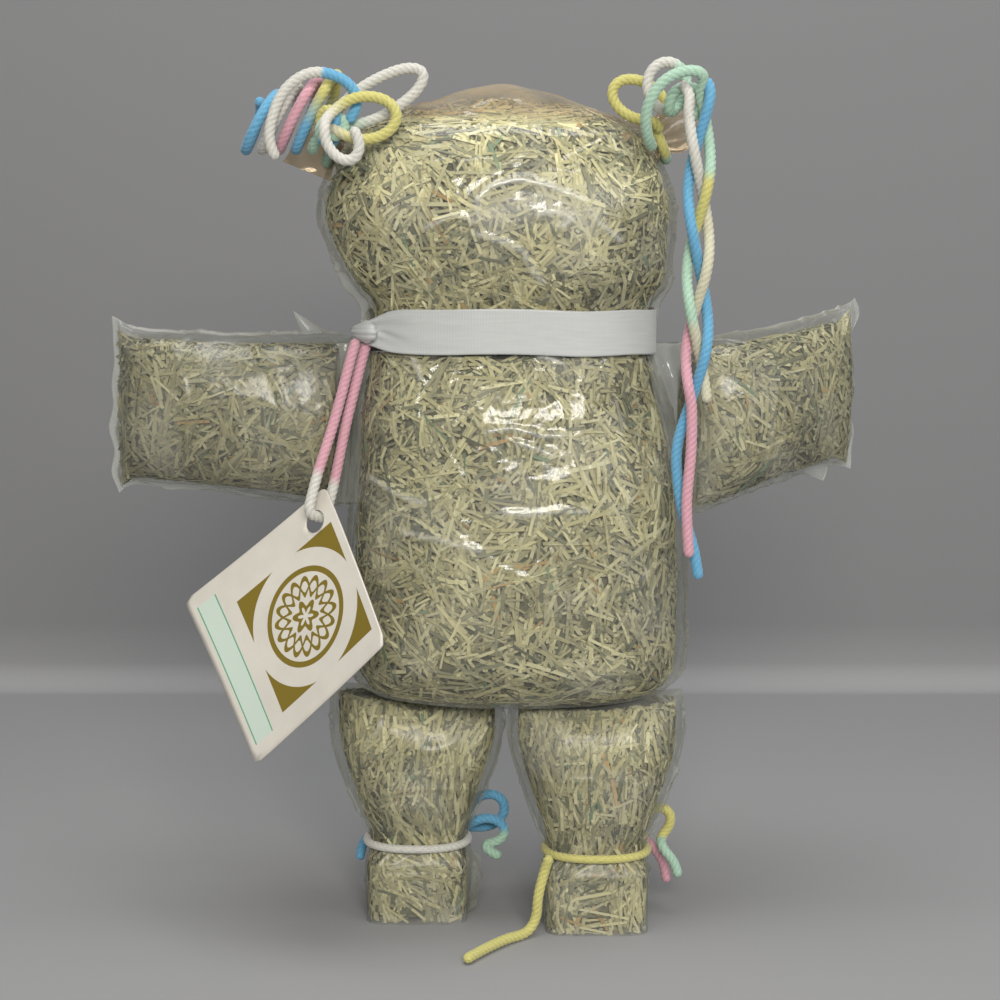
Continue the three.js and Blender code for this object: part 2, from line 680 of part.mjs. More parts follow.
const knotSeat = ribbonFrame(KNOT_TURN);
const knotReach = RIBBON_THICK / 2 + FIT + KNOT_WIDTH / 2;
const knotPlace = knotSeat.at.clone().addScaledVector(knotSeat.out, knotReach);
const knotShape = outward(new THREE.SphereGeometry(KNOT_WIDTH / 2, 12, 8));
knotShape.rotateX(Math.PI / 2);
knotShape.scale(1, 1, KNOT_HEIGHT / KNOT_WIDTH);
add(doll, 'ribbon_knot', knotShape, 'ribbon').position.copy(knotPlace);

// Card tag and the doubled yarn that passes through its hole

const tagFace = new THREE.Vector3().crossVectors(TAG_RIGHT, TAG_UP).normalize();
const tagUp = new THREE.Vector3().crossVectors(tagFace, TAG_RIGHT).normalize();
const tagPlace = knotPlace.clone().add(TAG_STEP);
const tag = pivot(tagPlace, TAG_RIGHT.clone().normalize(), tagUp, tagFace);
const card = new THREE.Shape();
const farEdge = TAG_SIDE - TAG_CORNER;
card.absarc(TAG_CORNER, -TAG_CORNER, TAG_CORNER, Math.PI / 2, Math.PI);
card.absarc(TAG_CORNER, -farEdge, TAG_CORNER, Math.PI, Math.PI * 1.5);
card.absarc(farEdge, -farEdge, TAG_CORNER, Math.PI * 1.5, Math.PI * 2);
card.absarc(farEdge, -TAG_CORNER, TAG_CORNER, 0, Math.PI / 2);
const eyelet = new THREE.Path();
eyelet.absarc(TAG_HOLE_INSET, -TAG_HOLE_INSET, TAG_HOLE / 2, 0, 2 * Math.PI, true);
card.holes.push(eyelet);
const cardOptions = { depth: TAG_THICK, curveSegments: CARD_STEPS, bevelEnabled: false };
const cardSolid = outward(new THREE.ExtrudeGeometry(card, cardOptions));
add(tag, 'tag_card', cardSolid, 'card').position.z = -TAG_THICK / 2;

// The card hangs on its yarn by the rim of its hole that is nearest the corner.
const towardsCorner = tagUp.clone().sub(TAG_RIGHT).normalize();
const threaded = tagPlace.clone()
  .addScaledVector(TAG_RIGHT, TAG_HOLE_INSET)
  .addScaledVector(TAG_UP, -TAG_HOLE_INSET)
  .addScaledVector(towardsCorner, TAG_HOLE / 2 - YARN / 2 - FIT);
const besideCard = YARN / 2 + TAG_THICK / 2 + FIT * 5;
const stringTop = knotPlace.clone().addScaledVector(UP, -KNOT_HEIGHT / 2 - FIT * 2);
const overCorner = (face, rise) => threaded.clone()
  .addScaledVector(tagFace, face * (besideCard + FIT))
  .addScaledVector(towardsCorner, rise);
const strandApart = knotSeat.out.clone().multiplyScalar(YARN / 2 + FIT * 1.5);
const upString = (share) => overCorner(0, TAG_HOLE_INSET * 2).lerp(stringTop, share);
add(doll, 'tag_string', tube([
  upString(1).add(strandApart),
  upString(0.7).add(strandApart),
  upString(0.35).addScaledVector(strandApart, 1.1),
  overCorner(1, TAG_HOLE_INSET * 1.4),
  overCorner(1, TAG_HOLE_INSET * 0.6),
  threaded.clone().addScaledVector(tagFace, besideCard),
  threaded.clone(),
  threaded.clone().addScaledVector(tagFace, -besideCard),
  overCorner(-1, TAG_HOLE_INSET * 0.6),
  overCorner(-1, TAG_HOLE_INSET * 1.4),
  upString(0.35).addScaledVector(strandApart, -1.1),
  upString(0.7).sub(strandApart),
  upString(1).sub(strandApart),
], 40), 'pink');

// Pigtails, tied round the head's corners

const earTieStep = EAR_NECK * 0.42;
const earTieRound = EAR_WAIST / 2 + FIT * 2 + YARN / 2;
const leftTie = earFrame(LEFT_EAR, -1, earTieStep);
const rightTie = earFrame(RIGHT_EAR, 1, earTieStep);
add(doll, 'left_ear_tie', ringAround(leftTie.at, leftTie.along, earTieRound, earTieRound), 'pink');
add(doll, 'right_ear_tie', ringAround(rightTie.at, rightTie.along, earTieRound, earTieRound), 'mint');

const wound = spread(0, 1, Math.round((PIGTAIL_TURNS * LOOP_STEPS) / 2)).map((share) => {
  // The loops grow taller towards the tie, lean to it and all reach down to one level.
  const turn = 2 * Math.PI * PIGTAIL_TURNS * share;
  const tall = THREE.MathUtils.lerp(PIGTAIL_SHORT, PIGTAIL_TALL, share);
  const rise = (tall / 2) * (1 + Math.cos(turn));
  return leftTie.at.clone().add(PIGTAIL_STEP).add(new THREE.Vector3(
    (share - 1) * PIGTAIL_TURNS * PIGTAIL_PITCH + PIGTAIL_LEAN * rise,
    (PIGTAIL_DEEP / 2) * Math.sin(turn),
    rise,
  ));
});
const leftPigtail = [
  ...wound,
  ...petals(leftTie.at.clone().add(LEFT_LOOPS_STEP), -1, [
    { heading: THREE.MathUtils.degToRad(29), long: 9.64, wide: 3.21 },
    { heading: THREE.MathUtils.degToRad(5), long: 6.07, wide: 3.93 },
    { heading: THREE.MathUtils.degToRad(-60), long: 4.29, wide: 2.86 },
  ]),
];
leastGap('left_pigtail', leftPigtail);
add(doll, 'left_pigtail', tube(leftPigtail, Math.round((PIGTAIL_TURNS + 3) * LOOP_STEPS)), 'white');

const tieFront = -earTieRound - YARN - FIT;
const beforeTie = rightTie.at.clone().add(new THREE.Vector3(YARN * 0.18, tieFront, YARN * 0.36));
const rightBase = beforeTie.clone().add(new THREE.Vector3(YARN * 0.36, -FIT, YARN * 1.79));
const rightPigtail = [
  beforeTie,
  ...petals(rightBase, 1, [
    { heading: THREE.MathUtils.degToRad(155), long: 5.71, wide: 3.57 },
    { heading: THREE.MathUtils.degToRad(92), long: 4.64, wide: 3.93 },
    { heading: THREE.MathUtils.degToRad(20), long: 3.21, wide: 3.21 },
  ]),
];
leastGap('right_pigtail', rightPigtail);
add(doll, 'right_pigtail', tube(rightPigtail, 3 * LOOP_STEPS), 'yellow');

// Braid of three yarns that hangs from the right pigtail, with two of its ends left long

const braidTop = rightTie.at.clone().add(new THREE.Vector3(BRAID_OUT, -BRAID_FRONT, BRAID_RISE));

function besideBraid(across, deep, down) {
  // A point by shares of the braid's spread, its depth and its length below its top.
  return braidTop.clone().add(new THREE.Vector3(
    across * BRAID_SPREAD,
    deep * BRAID_DEEP,
    -down * BRAID_LENGTH,
  ));
}

function braidPoint(share, strand) {
  // Each yarn sways across once and weaves front to back twice in a period.
  const turn = 2 * Math.PI * ((share * BRAID_LENGTH) / BRAID_PERIOD + strand / 3);
  return besideBraid(Math.sin(turn), Math.sin(2 * turn), share);
}

const braidTails = {
  braid_strand_mint: [],
  braid_strand_blue: [[-1.7, 0.6, 1.15], [-1.3, 0.5, 1.33], [0, 0.5, 1.49], [0.5, 0.5, 1.59]],
  braid_strand_pink: [[-0.5, -0.9, 1.15], [-0.86, -0.9, 1.33], [-0.57, -0.9, 1.51]],
};
Object.entries(braidTails).forEach(([name, ends], strand) => {
  const woven = spread(0, 1, 20).map((share) => braidPoint(share, strand));
  const points = [...woven, ...ends.map((end) => besideBraid(...end))];
  add(doll, name, tube(points, 26 + ends.length * 3), name.split('_').at(-1));
});

// Bows and loose ends of the ankle ties

function ankleTouch(ankle, turn) {
  // A point where a second yarn lies against the ankle's ring, out from its middle line.
  const { point, out } = outlineFrame(turn, ankleWide, ankleDeep);
  return ankle.clone().add(point).addScaledVector(out, YARN + FIT * 1.5);
}

function besideAnkle(ankle, x, y, z) {
  // A point so many yarn thicknesses from the ankle's middle.
  return ankle.clone().addScaledVector(new THREE.Vector3(x, y, z), YARN);
}

const leftBowBase = besideAnkle(ankleTouch(leftAnkle, THREE.MathUtils.degToRad(45)), 0.75, 0.75, 0.36);
const leftBow = [
  besideAnkle(leftAnkle, -6.18, 2.5, -3.21),
  besideAnkle(leftAnkle, -5.96, 3.39, -1.61),
  ankleTouch(leftAnkle, THREE.MathUtils.degToRad(125)),
  ankleTouch(leftAnkle, THREE.MathUtils.degToRad(90)),
  ankleTouch(leftAnkle, THREE.MathUtils.degToRad(60)),
  ...petals(leftBowBase, 1, [
    { heading: THREE.MathUtils.degToRad(34), long: 4.29, wide: 3.57 },
    { heading: THREE.MathUtils.degToRad(-8), long: 3.93, wide: 2.86 },
  ]),
  besideAnkle(leftAnkle, 7.04, 1.61, -1.79),
  besideAnkle(leftAnkle, 8.64, 1.43, -2.5),
];
leastGap('left_ankle_bow', leftBow);
add(doll, 'left_ankle_bow', tube(leftBow, 60), 'blue');

const rightBowBase = ankleTouch(rightAnkle, THREE.MathUtils.degToRad(40));
const rightBow = [
  besideAnkle(rightAnkle, 7.57, 3.93, -5),
  besideAnkle(rightAnkle, 7.21, 4.07, -2.86),
  besideAnkle(rightBowBase, 1.07, 0.54, -1.07),
  ...petals(rightBowBase, 1, [{ heading: THREE.MathUtils.degToRad(48), long: 3.93, wide: 2.86 }]),
  besideAnkle(rightAnkle, 6.86, 2, -0.54),
  besideAnkle(rightAnkle, 8.11, 1.93, -2.14),
  besideAnkle(rightAnkle, 8.57, 1.93, -3.75),
];
leastGap('right_ankle_bow', rightBow);
add(doll, 'right_ankle_bow', tube(rightBow, 40), 'mint');

function floorPoint(x, y) {
  // A point of the yarn that lies on the floor, by its place in front of the right ankle.
  return besideAnkle(rightAnkle, x, y, 0).setZ(YARN / 2 + FIT);
}

add(doll, 'right_ankle_tail', tube([
  besideAnkle(ankleTouch(rightAnkle, THREE.MathUtils.degToRad(222)), 0, 0, 0.36),
  besideAnkle(ankleTouch(rightAnkle, THREE.MathUtils.degToRad(216)), 0, 0, -1.07),
  besideAnkle(rightAnkle, -5.96, -3.79, -3.93),
  besideAnkle(rightAnkle, -6.14, -3.71, -6.07),
  floorPoint(-6.96, -4.29),
  floorPoint(-9.04, -6.25),
  floorPoint(-11.18, -8.93),
  floorPoint(-13.07, -11.79),
], 26), 'yellow');

// The doll stands with the origin under the middle of its pouches and ties, loose ends not counted

const LOOSE = [...Object.keys(braidTails), 'tag_string', 'tag_card', 'right_ankle_tail'];
const box = new THREE.Box3();
doll.updateMatrixWorld(true);
doll.traverse((mesh) => {
  if (mesh.isMesh && !LOOSE.includes(mesh.name)) box.expandByObject(mesh, true);
});
const middle = box.getCenter(new THREE.Vector3());
doll.position.set(-middle.x, -middle.y, -box.min.z);

export default doll;
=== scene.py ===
"""Studio scene of a standing doll: clear film pouches stuffed with shredded paper, tied with yarn and ribbon.

All sizes are millimetres in the doll's own frame, whose X is 0 on the doll's middle line, and every mesh is put into
the model's frame in metres. The doll faces -Y, and left and right are the viewer's.
"""
from __future__ import annotations

import logging
import math
from dataclasses import dataclass, field
from enum import Enum, IntEnum
from typing import Callable, Sequence

import bmesh
import bpy
import numpy as np
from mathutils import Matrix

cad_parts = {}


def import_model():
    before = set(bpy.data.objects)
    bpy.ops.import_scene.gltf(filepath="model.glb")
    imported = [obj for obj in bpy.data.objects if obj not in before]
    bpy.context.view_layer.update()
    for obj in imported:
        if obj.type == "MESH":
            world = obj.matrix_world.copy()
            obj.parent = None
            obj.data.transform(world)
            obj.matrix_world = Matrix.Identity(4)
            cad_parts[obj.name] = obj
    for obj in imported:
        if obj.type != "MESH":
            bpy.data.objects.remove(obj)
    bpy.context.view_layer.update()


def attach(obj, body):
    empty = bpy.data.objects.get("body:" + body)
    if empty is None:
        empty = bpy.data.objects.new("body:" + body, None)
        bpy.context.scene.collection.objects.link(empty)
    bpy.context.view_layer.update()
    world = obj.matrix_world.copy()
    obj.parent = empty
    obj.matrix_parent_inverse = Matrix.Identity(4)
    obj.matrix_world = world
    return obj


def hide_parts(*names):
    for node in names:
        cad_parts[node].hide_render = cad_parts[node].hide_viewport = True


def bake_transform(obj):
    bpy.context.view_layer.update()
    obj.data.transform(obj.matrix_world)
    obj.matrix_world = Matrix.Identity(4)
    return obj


log = logging.getLogger("doll")

Array = np.ndarray
Triple = tuple[float, float, float]
Socket = bpy.types.NodeSocket
SizeRun = Callable[[Array], Array]

MM = 0.001  # metres in a millimetre
SHIFT = np.array([4.7273, 1.8625, 0.0])  # from the doll's frame to the model's, in mm
YARN = 2.8  # thickness of the yarn
FADE = 0.012  # half of the fade between two dyes, as a share of the yarn
LOOP_GAP = 32.0  # degrees left open at each side of a yarn loop's base
LOOP_STEP = 6.4  # how much nearer the viewer each loop lies than the one before
LOOP_DIP = 1.4  # how far the yarn dips behind the base between two loops

OVAL_POWER = 2.25  # exponent of the pouches' rounded oval
BOX_POWER = 5.5  # exponent of the boxy feet
FIN_ANGLE = 0.055  # half width of a seam's fin, in radians round the section
SEAL_ANGLE = 0.014  # half width of the hazy line on a fin: seal haze with a painted highlight along the film's edge
END_LENGTH = 5.0  # length over which wrinkles die away towards a pouch's ends
STRIP_WIDTHS = (0.6, 1.12)  # narrowest and widest strip, in mm
STRIP_HALF_THICK = 0.07  # half the paper's thickness
STRIP_PARTS = 2  # straight parts in each strip
STRIP_DEPTH = 1.5  # the strips' mean depth under the film
CORE_DEPTH = 2.5  # depth of the core under the film, which is coloured dark as painted shade
# painted shade: the core's colour, darker than the paper, seen in the gaps between strips
CORE_SHADE_COLOUR = "6E6A52"
SMALL = 0.05  # step for differences, in radians or mm
PAPERS = {
    "DAD4B0": 0.17, "CCC59E": 0.23, "BCB58E": 0.19, "C2BD9E": 0.13, "A5A184": 0.13, "8C8B73": 0.08, "70715C": 0.05,
    "7F937A": 0.012, "BC9E70": 0.012,
}  # the strips' colours, each with how common it is


class Body(Enum):
    """The moving bodies that pieces ride on."""

    TORSO = "torso"
    HEAD = "head"
    BRAID = "braid"
    LEFT_ARM = "left_arm"
    RIGHT_ARM = "right_arm"
    LEFT_LEG = "left_leg"
    RIGHT_LEG = "right_leg"
    TAG = "tag"


class Slot(Enum):
    """The record's material slots."""

    FILM = "clear_film"
    SHREDS = "paper_shreds"
    RIBBON = "satin_ribbon"
    MIXED = "variegated_yarn"
    PINK = "pink_yarn"
    MINT = "mint_yarn"
    BLUE = "blue_yarn"
    YELLOW = "yellow_yarn"
    CARD = "card"


class Dye(Enum):
    """The pastel colours that the yarn was dyed in, in stretches."""

    WHITE = "D3D1C8"
    PINK = "D6A2AE"
    BLUE = "6CABCF"
    YELLOW = "CEC87C"
    MINT = "AECFB8"
    CREAM = "D2CEB4"


# ---------------------------------------------------------------------------------------------------------------
# Numbers and curves


def linear(hex_colour: str) -> tuple[float, float, float, float]:
    """The linear red, green and blue of an sRGB colour of six hex digits, and an alpha of one."""
    parts = [int(hex_colour[k:k + 2], 16) / 255 for k in (0, 2, 4)]
    red, green, blue = (c / 12.92 if c <= 0.04045 else ((c + 0.055) / 1.055) ** 2.4 for c in parts)
    return red, green, blue, 1.0


def ease(value: Array, low: float, high: float) -> Array:
    """Smooth step: 0 before low, 1 after high, and 3t^2 - 2t^3 between them."""
    share = np.clip((value - low) / (high - low), 0.0, 1.0)
    return share * share * (3.0 - 2.0 * share)


def unit(vectors: Array) -> Array:
    """Vectors along the last axis, each divided by its length."""
    return vectors / np.maximum(np.linalg.norm(vectors, axis=-1, keepdims=True), 1e-9)


def circle(count: int) -> Array:
    """Angles evenly spaced once round, in radians."""
    return np.linspace(0, 2 * math.pi, count, endpoint=False)


def run_along(points: Array) -> Array:
    """The distance along a line to each of its points."""
    return np.concatenate([[0.0], np.cumsum(np.linalg.norm(np.diff(points, axis=0), axis=1))])


def fixed(*numbers: float | Triple) -> Array:
    """A dataclass field that holds a fixed place, direction or line of places."""
    return field(default_factory=lambda: np.array(numbers))


@dataclass(frozen=True)
class Profile:
    """A size that runs smoothly through its stations.

    Between stations it is a cubic whose end slopes are the harmonic means of the neighbouring rises, or level where
    the rises change sign, so it never overshoots a station.
    """

    stations: tuple[float, ...]
    sizes: tuple[float, ...]

    def __call__(self, z: Array) -> Array:
        """The size at each station z."""
        x, y = np.array(self.stations), np.array(self.sizes)
        rise = np.diff(y) / np.diff(x)
        both = rise[:-1] * rise[1:]
        total = rise[:-1] + rise[1:]
        inner = np.where(both > 0, 2.0 * both / np.where(total == 0, 1.0, total), 0.0)
        slope = np.concatenate([rise[:1], inner, rise[-1:]])
        at = np.clip(z, x[0], x[-1])
        k = np.clip(np.searchsorted(x, at, side="right") - 1, 0, len(x) - 2)
        step = x[k + 1] - x[k]
        t = (at - x[k]) / step
        return (y[k] * (1 + 2 * t) * (1 - t) ** 2 + slope[k] * step * t * (1 - t) ** 2
                + y[k + 1] * t * t * (3 - 2 * t) + slope[k + 1] * step * t * t * (t - 1))


def waves(points: Array, length: float, count: int, seed: int) -> Array:
    """A smooth random field: the sum of plane sine waves of about one length, in random directions and phases.

    Args:
        points: Places in mm, along the last axis.
        length: Wavelength in mm.
        count: How many waves are added.
        seed: Seed of the random draw.

    Returns:
        The field at each place, about -1 to 1.
    """
    rng = np.random.default_rng(seed)
    ways = unit(rng.normal(size=(count, 3))) * (2 * math.pi / length) * rng.uniform(0.7, 1.4, (count, 1))
    phases = rng.uniform(0, 2 * math.pi, count)
    return np.sin(points @ ways.T + phases).sum(axis=-1) / math.sqrt(count)


def curve_through(points: Array, step: float) -> Array:
    """A smooth curve through points, at even steps along its length.

    It is the centripetal Catmull-Rom curve: knots are spaced by the square roots of the chords, and each stretch blends
    the lines through its four neighbouring points. The ends are carried on by mirroring.

    Args:
        points: Points in mm, one a row.
        step: Distance between the points returned, in mm.

    Returns:
        Points along the curve.
    """
    whole = np.vstack([2 * points[0] - points[1], points, 2 * points[-1] - points[-2]])
    p = [whole[k:len(points) - 1 + k, None, :] for k in range(4)]
    gaps = [np.sqrt(np.linalg.norm(p[k + 1] - p[k], axis=-1, keepdims=True)) for k in range(3)]
    t0 = np.zeros_like(gaps[0])
    t1 = t0 + gaps[0]
    t2 = t1 + gaps[1]
    t3 = t2 + gaps[2]
    t = t1 + (t2 - t1) * np.linspace(0, 1, 24, endpoint=False)[None, :, None]

    def between(a: Array, b: Array, low: Array, high: Array) -> Array:
        """The line from a to b at knot t."""
        return (high - t) / (high - low) * a + (t - low) / (high - low) * b

    a1, a2, a3 = between(p[0], p[1], t0, t1), between(p[1], p[2], t1, t2), between(p[2], p[3], t2, t3)
    fine = between(between(a1, a2, t0, t2), between(a2, a3, t1, t3), t1, t2).reshape(-1, 3)
    fine = np.vstack([fine, points[-1]])
    run = run_along(fine)
    even = np.linspace(0, run[-1], max(int(round(run[-1] / step)), 3) + 1)
    return np.stack([np.interp(even, run, fine[:, k]) for k in range(3)], axis=1)


def frames_along(path: Array, closed: bool = False) -> tuple[Array, Array]:
    """Two directions across a path at each of its points that turn no more than the path does.

    Each pair is the last one with what has come to lie along the path taken out of it.

    Args:
        path: Points of the path.
        closed: Whether the path joins its own start; the leftover turn is then spread evenly along it.

    Returns:
        The two directions at each point.
    """
    if closed:
        tangent = unit(np.roll(path, -1, axis=0) - np.roll(path, 1, axis=0))
    else:
        tangent = unit(np.gradient(path, axis=0))
    first = np.eye(3)[np.argmin(np.abs(tangent[0]))]
    side = np.empty_like(path)
    last = np.cross(tangent[0], first)
    for k, way in enumerate(tangent):
        last = last - way * (last @ way)
        last = last / np.linalg.norm(last)
        side[k] = last
    over = np.cross(tangent, side)
    if closed:
        carried = unit(side[-1] - tangent[0] * (side[-1] @ tangent[0]))
        left = math.atan2(float(carried @ over[0]), float(carried @ side[0]))
        turn = -left * np.arange(len(path))[:, None] / len(path)
        side, over = side * np.cos(turn) + over * np.sin(turn), over * np.cos(turn) - side * np.sin(turn)
    return side, over


# ---------------------------------------------------------------------------------------------------------------
# Meshes and materials


def put_mesh(
    name: str,
    points: Array,
    faces: Array,
    tint: Array | None = None,
    uv: Array | None = None,
    merge: bool = True,
) -> bpy.types.Object:
    """Make a mesh object of quads, with its place in its mesh.

    Args:
        name: The piece's name.
        points: Points in the doll's frame, in mm.
        faces: Four point numbers a row.
        tint: A colour for each point, kept as the attribute tint.
        uv: A pair for each corner of each face, in the faces' order.
        merge: Whether points that fall together are joined, so that seams and poles close.

    Returns:
        The object.
    """
    mesh = bpy.data.meshes.new(name)
    flat = points.reshape(-1, 3)
    mesh.vertices.add(len(flat))
    mesh.vertices.foreach_set("co", ((flat + SHIFT) * MM).astype(np.float32).ravel())
    mesh.loops.add(faces.size)
    mesh.loops.foreach_set("vertex_index", faces.astype(np.int32).ravel())
    mesh.polygons.add(len(faces))
    mesh.polygons.foreach_set("loop_start", np.arange(0, faces.size, faces.shape[1], dtype=np.int32))
    mesh.polygons.foreach_set("use_smooth", np.ones(len(faces), dtype=bool))
    mesh.update(calc_edges=True)
    if tint is not None:
        layer = mesh.attributes.new("tint", "FLOAT_COLOR", "POINT")
        layer.data.foreach_set("color", tint.reshape(-1, 4).astype(np.float32).ravel())
    if uv is not None:
        mesh.uv_layers.new(name="UVMap").data.foreach_set("uv", uv.astype(np.float32).ravel())
    if merge:
        work = bmesh.new()
        work.from_mesh(mesh)
        bmesh.ops.remove_doubles(work, verts=work.verts, dist=2e-6)
        bmesh.ops.recalc_face_normals(work, faces=work.faces)
        work.to_mesh(mesh)
        work.free()
    mesh.validate()
    piece = bpy.data.objects.new(name, mesh)
    bpy.context.scene.collection.objects.link(piece)
    return piece


def grid_faces(rows: int, columns: int, wrap_rows: bool, wrap_columns: bool) -> Array:
    """The quads of a grid of points.

    Args:
        rows: Points the first way.
        columns: Points the second way.
        wrap_rows: Whether the last row joins the first.
        wrap_columns: Whether the last column joins the first.

    Returns:
        Four point numbers a row.
    """
    r = np.arange(rows if wrap_rows else rows - 1)[:, None]
    c = np.arange(columns if wrap_columns else columns - 1)[None, :]
    r2, c2 = (r + 1) % rows, (c + 1) % columns
    return np.stack([r * columns + c, r * columns + c2, r2 * columns + c2, r2 * columns + c], axis=-1).reshape(-1, 4)


def grid_uv(rows: int, columns: int, wrap_rows: bool, wrap_columns: bool, along: Array, across: Array) -> Array:
    """Face-corner coordinates that run on over the joins of a grid.

    Args:
        rows: Points the first way.
        columns: Points the second way.
        wrap_rows: Whether the last row joins the first.
        wrap_columns: Whether the last column joins the first.
        along: A coordinate for each row and one more when the rows join.
        across: A coordinate for each column and one more when the columns join.

    Returns:
        A pair for each corner of each quad.
    """
    r = np.arange(rows if wrap_rows else rows - 1)[:, None]
    c = np.arange(columns if wrap_columns else columns - 1)[None, :]
    u = np.stack([along[r + 0 * c], along[r + 0 * c], along[r + 1 + 0 * c], along[r + 1 + 0 * c]], axis=-1)
    v = np.stack([across[c + 0 * r], across[c + 1 + 0 * r], across[c + 1 + 0 * r], across[c + 0 * r]], axis=-1)
    return np.stack([u, v], axis=-1).reshape(-1, 2)


class Nodes:
    """A material and its node tree, with a short call for each kind of node that the finishes share."""

    def __init__(self, name: str) -> None:
        """Start an empty material.

        Args:
            name: The material's name.
        """
        self.material = bpy.data.materials.new(name)
        self.material.use_nodes = True
        self.tree = self.material.node_tree
        self.tree.nodes.clear()

    def add(self, kind: str, inputs: dict[str | int, object] | None = None, **settings: object) -> bpy.types.Node:
        """Add a node with its settings, its input values and its links.

        Args:
            kind: The node's type, without the prefix that shader nodes share.
            inputs: Values or other nodes' outputs, by input name or number.
            settings: The node's own properties.

        Returns:
            The node.
        """
        node = self.tree.nodes.new(f"ShaderNode{kind}")
        for name, value in settings.items():
            setattr(node, name, value)
        for key, value in (inputs or {}).items():
            if isinstance(value, Socket):
                self.tree.links.new(value, node.inputs[key])
            else:
                node.inputs[key].default_value = value
        return node

    def place(self, kind: str) -> Socket:
        """Where a point is: Object for its place in metres, or UV for its place on the sheet or yarn in mm."""
        return self.add("TexCoord").outputs[kind]

    def tint(self, part: str) -> Socket:
        """One part of the attribute tint: Color, Alpha or Fac."""
        return self.add("Attribute", attribute_name="tint").outputs[part]

    def noise(self, place: Socket, size: float, detail: float) -> Socket:
        """Noise whose features are about one size across."""
        return self.add("TexNoise", {"Vector": place, "Scale": 1 / size, "Detail": detail}).outputs[0]

    def bump(self, height: Socket, strength: float, rise: float, **under: Socket) -> Socket:
        """A surface direction tipped by a height of up to rise metres, over another such direction if it is given."""
        return self.add("Bump", {"Height": height, "Strength": strength, "Distance": rise, **under}).outputs[0]

    def mapped(self, value: Socket, low: float, high: float, to_low: float = 0.0, to_high: float = 1.0) -> Socket:
        """A value's stretch from low to high mapped to another stretch, and held at its ends."""
        return self.add("MapRange", {"Value": value, "From Min": low, "From Max": high, "To Min": to_low,
                                     "To Max": to_high}).outputs[0]

    def mix(self, share: Socket, first: object, second: object) -> Socket:
        """Two colours mixed by a share."""
        return self.add("Mix", {0: share, 6: first, 7: second}, data_type="RGBA").outputs[2]

    def number(self, operation: str, *values: object) -> Socket:
        """A number worked out from others."""
        return self.add("Math", dict(enumerate(values)), operation=operation).outputs[0]

    def vector(self, operation: str, *values: object) -> bpy.types.Node:
        """A vector, or its length, worked out from others."""
        return self.add("VectorMath", dict(enumerate(values)), operation=operation)

    def blended(self, share: Socket, first: bpy.types.Node, second: bpy.types.Node) -> bpy.types.Node:
        """Two shaders mixed by a share."""
        return self.add("MixShader", {0: share, 1: first.outputs[0], 2: second.outputs[0]})

    def finish(self, shader: bpy.types.Node) -> bpy.types.Material:
        """Put a shader on the material's surface."""
        self.add("OutputMaterial", {"Surface": shader.outputs[0]})
        return self.material


# ---------------------------------------------------------------------------------------------------------------
# Finishes


@dataclass(frozen=True)
class FilmFinish:
    """Clear vinyl film, cast and heat sealed: see-through, glossy and crinkled, hazy and yellowed at its seals."""

    clear: str = "FAFBF8"
    amber: str = "DDBB80"
    haze: str = "E6E7E2"
    aged: str = "CDB88E"
    roughness: float = 0.13
    dulled: float = 0.4
    ior: float = 1.5
    glare: tuple[float, float] = (0.015, 0.42)
    crinkle_mm: float = 9.0
    fine_mm: float = 2.2

    def make(self) -> bpy.types.Material:
        """The film's material; the attribute tint holds yellowing in red, haze in green and dullness in blue."""
        nodes = Nodes("clear_vinyl_film_heat_sealed")
        place = nodes.place("Object")
        coarse = nodes.bump(nodes.noise(place, self.crinkle_mm * MM, 2.0), 0.5, 0.0012)
        bump = nodes.bump(nodes.noise(place, self.fine_mm * MM, 3.0), 0.3, 0.0003, Normal=coarse)
        yellow, milky, dull = nodes.add("SeparateColor", {"Color": nodes.tint("Color")}).outputs
        through = nodes.add("BsdfTransparent", {"Color": nodes.mix(yellow, linear(self.clear), linear(self.amber))})
        haze = nodes.add("BsdfDiffuse", {"Color": nodes.mix(yellow, linear(self.haze), linear(self.aged)),
                                         "Normal": bump})
        sheen = nodes.mapped(dull, 0.0, 1.0, self.roughness, self.dulled)
        gloss = nodes.add("BsdfGlossy", {"Color": (1.0, 1.0, 1.0, 1.0), "Roughness": sheen, "Normal": bump})
        edge = nodes.add("Fresnel", {"IOR": self.ior, "Normal": bump}).outputs[0]
        body = nodes.blended(milky, through, haze)
        return nodes.finish(nodes.blended(nodes.mapped(edge, 0.0, 1.0, *self.glare), body, gloss))


@dataclass(frozen=True)
class ShredFinish:
    """Rag paper, cut into strips: matt, fibrous, cream where it was blank and grey-green where it was printed."""

    roughness: float = 0.82
    fibre_mm: float = 0.5
    ink_mm: float = 1.3
    ink: str = "5E614C"

    def make(self) -> bpy.types.Material:
        """The shreds' material; the attribute tint holds each strip's colour and, in alpha, its share of ink."""
        nodes = Nodes("rag_paper_shredded")
        place = nodes.place("Object")
        spots = nodes.mapped(nodes.noise(place, self.ink_mm * MM, 3.0), 0.5, 0.62, 0.0, 0.75)
        share = nodes.number("MULTIPLY", spots, nodes.tint("Alpha"))
        return nodes.finish(nodes.add("BsdfPrincipled", {
            "Base Color": nodes.mix(share, nodes.tint("Color"), linear(self.ink)), "Roughness": self.roughness,
            "IOR": 1.47, "Specular IOR Level": 0.3,
            "Normal": nodes.bump(nodes.noise(place, self.fibre_mm * MM, 2.0), 0.3, 0.0002)}))


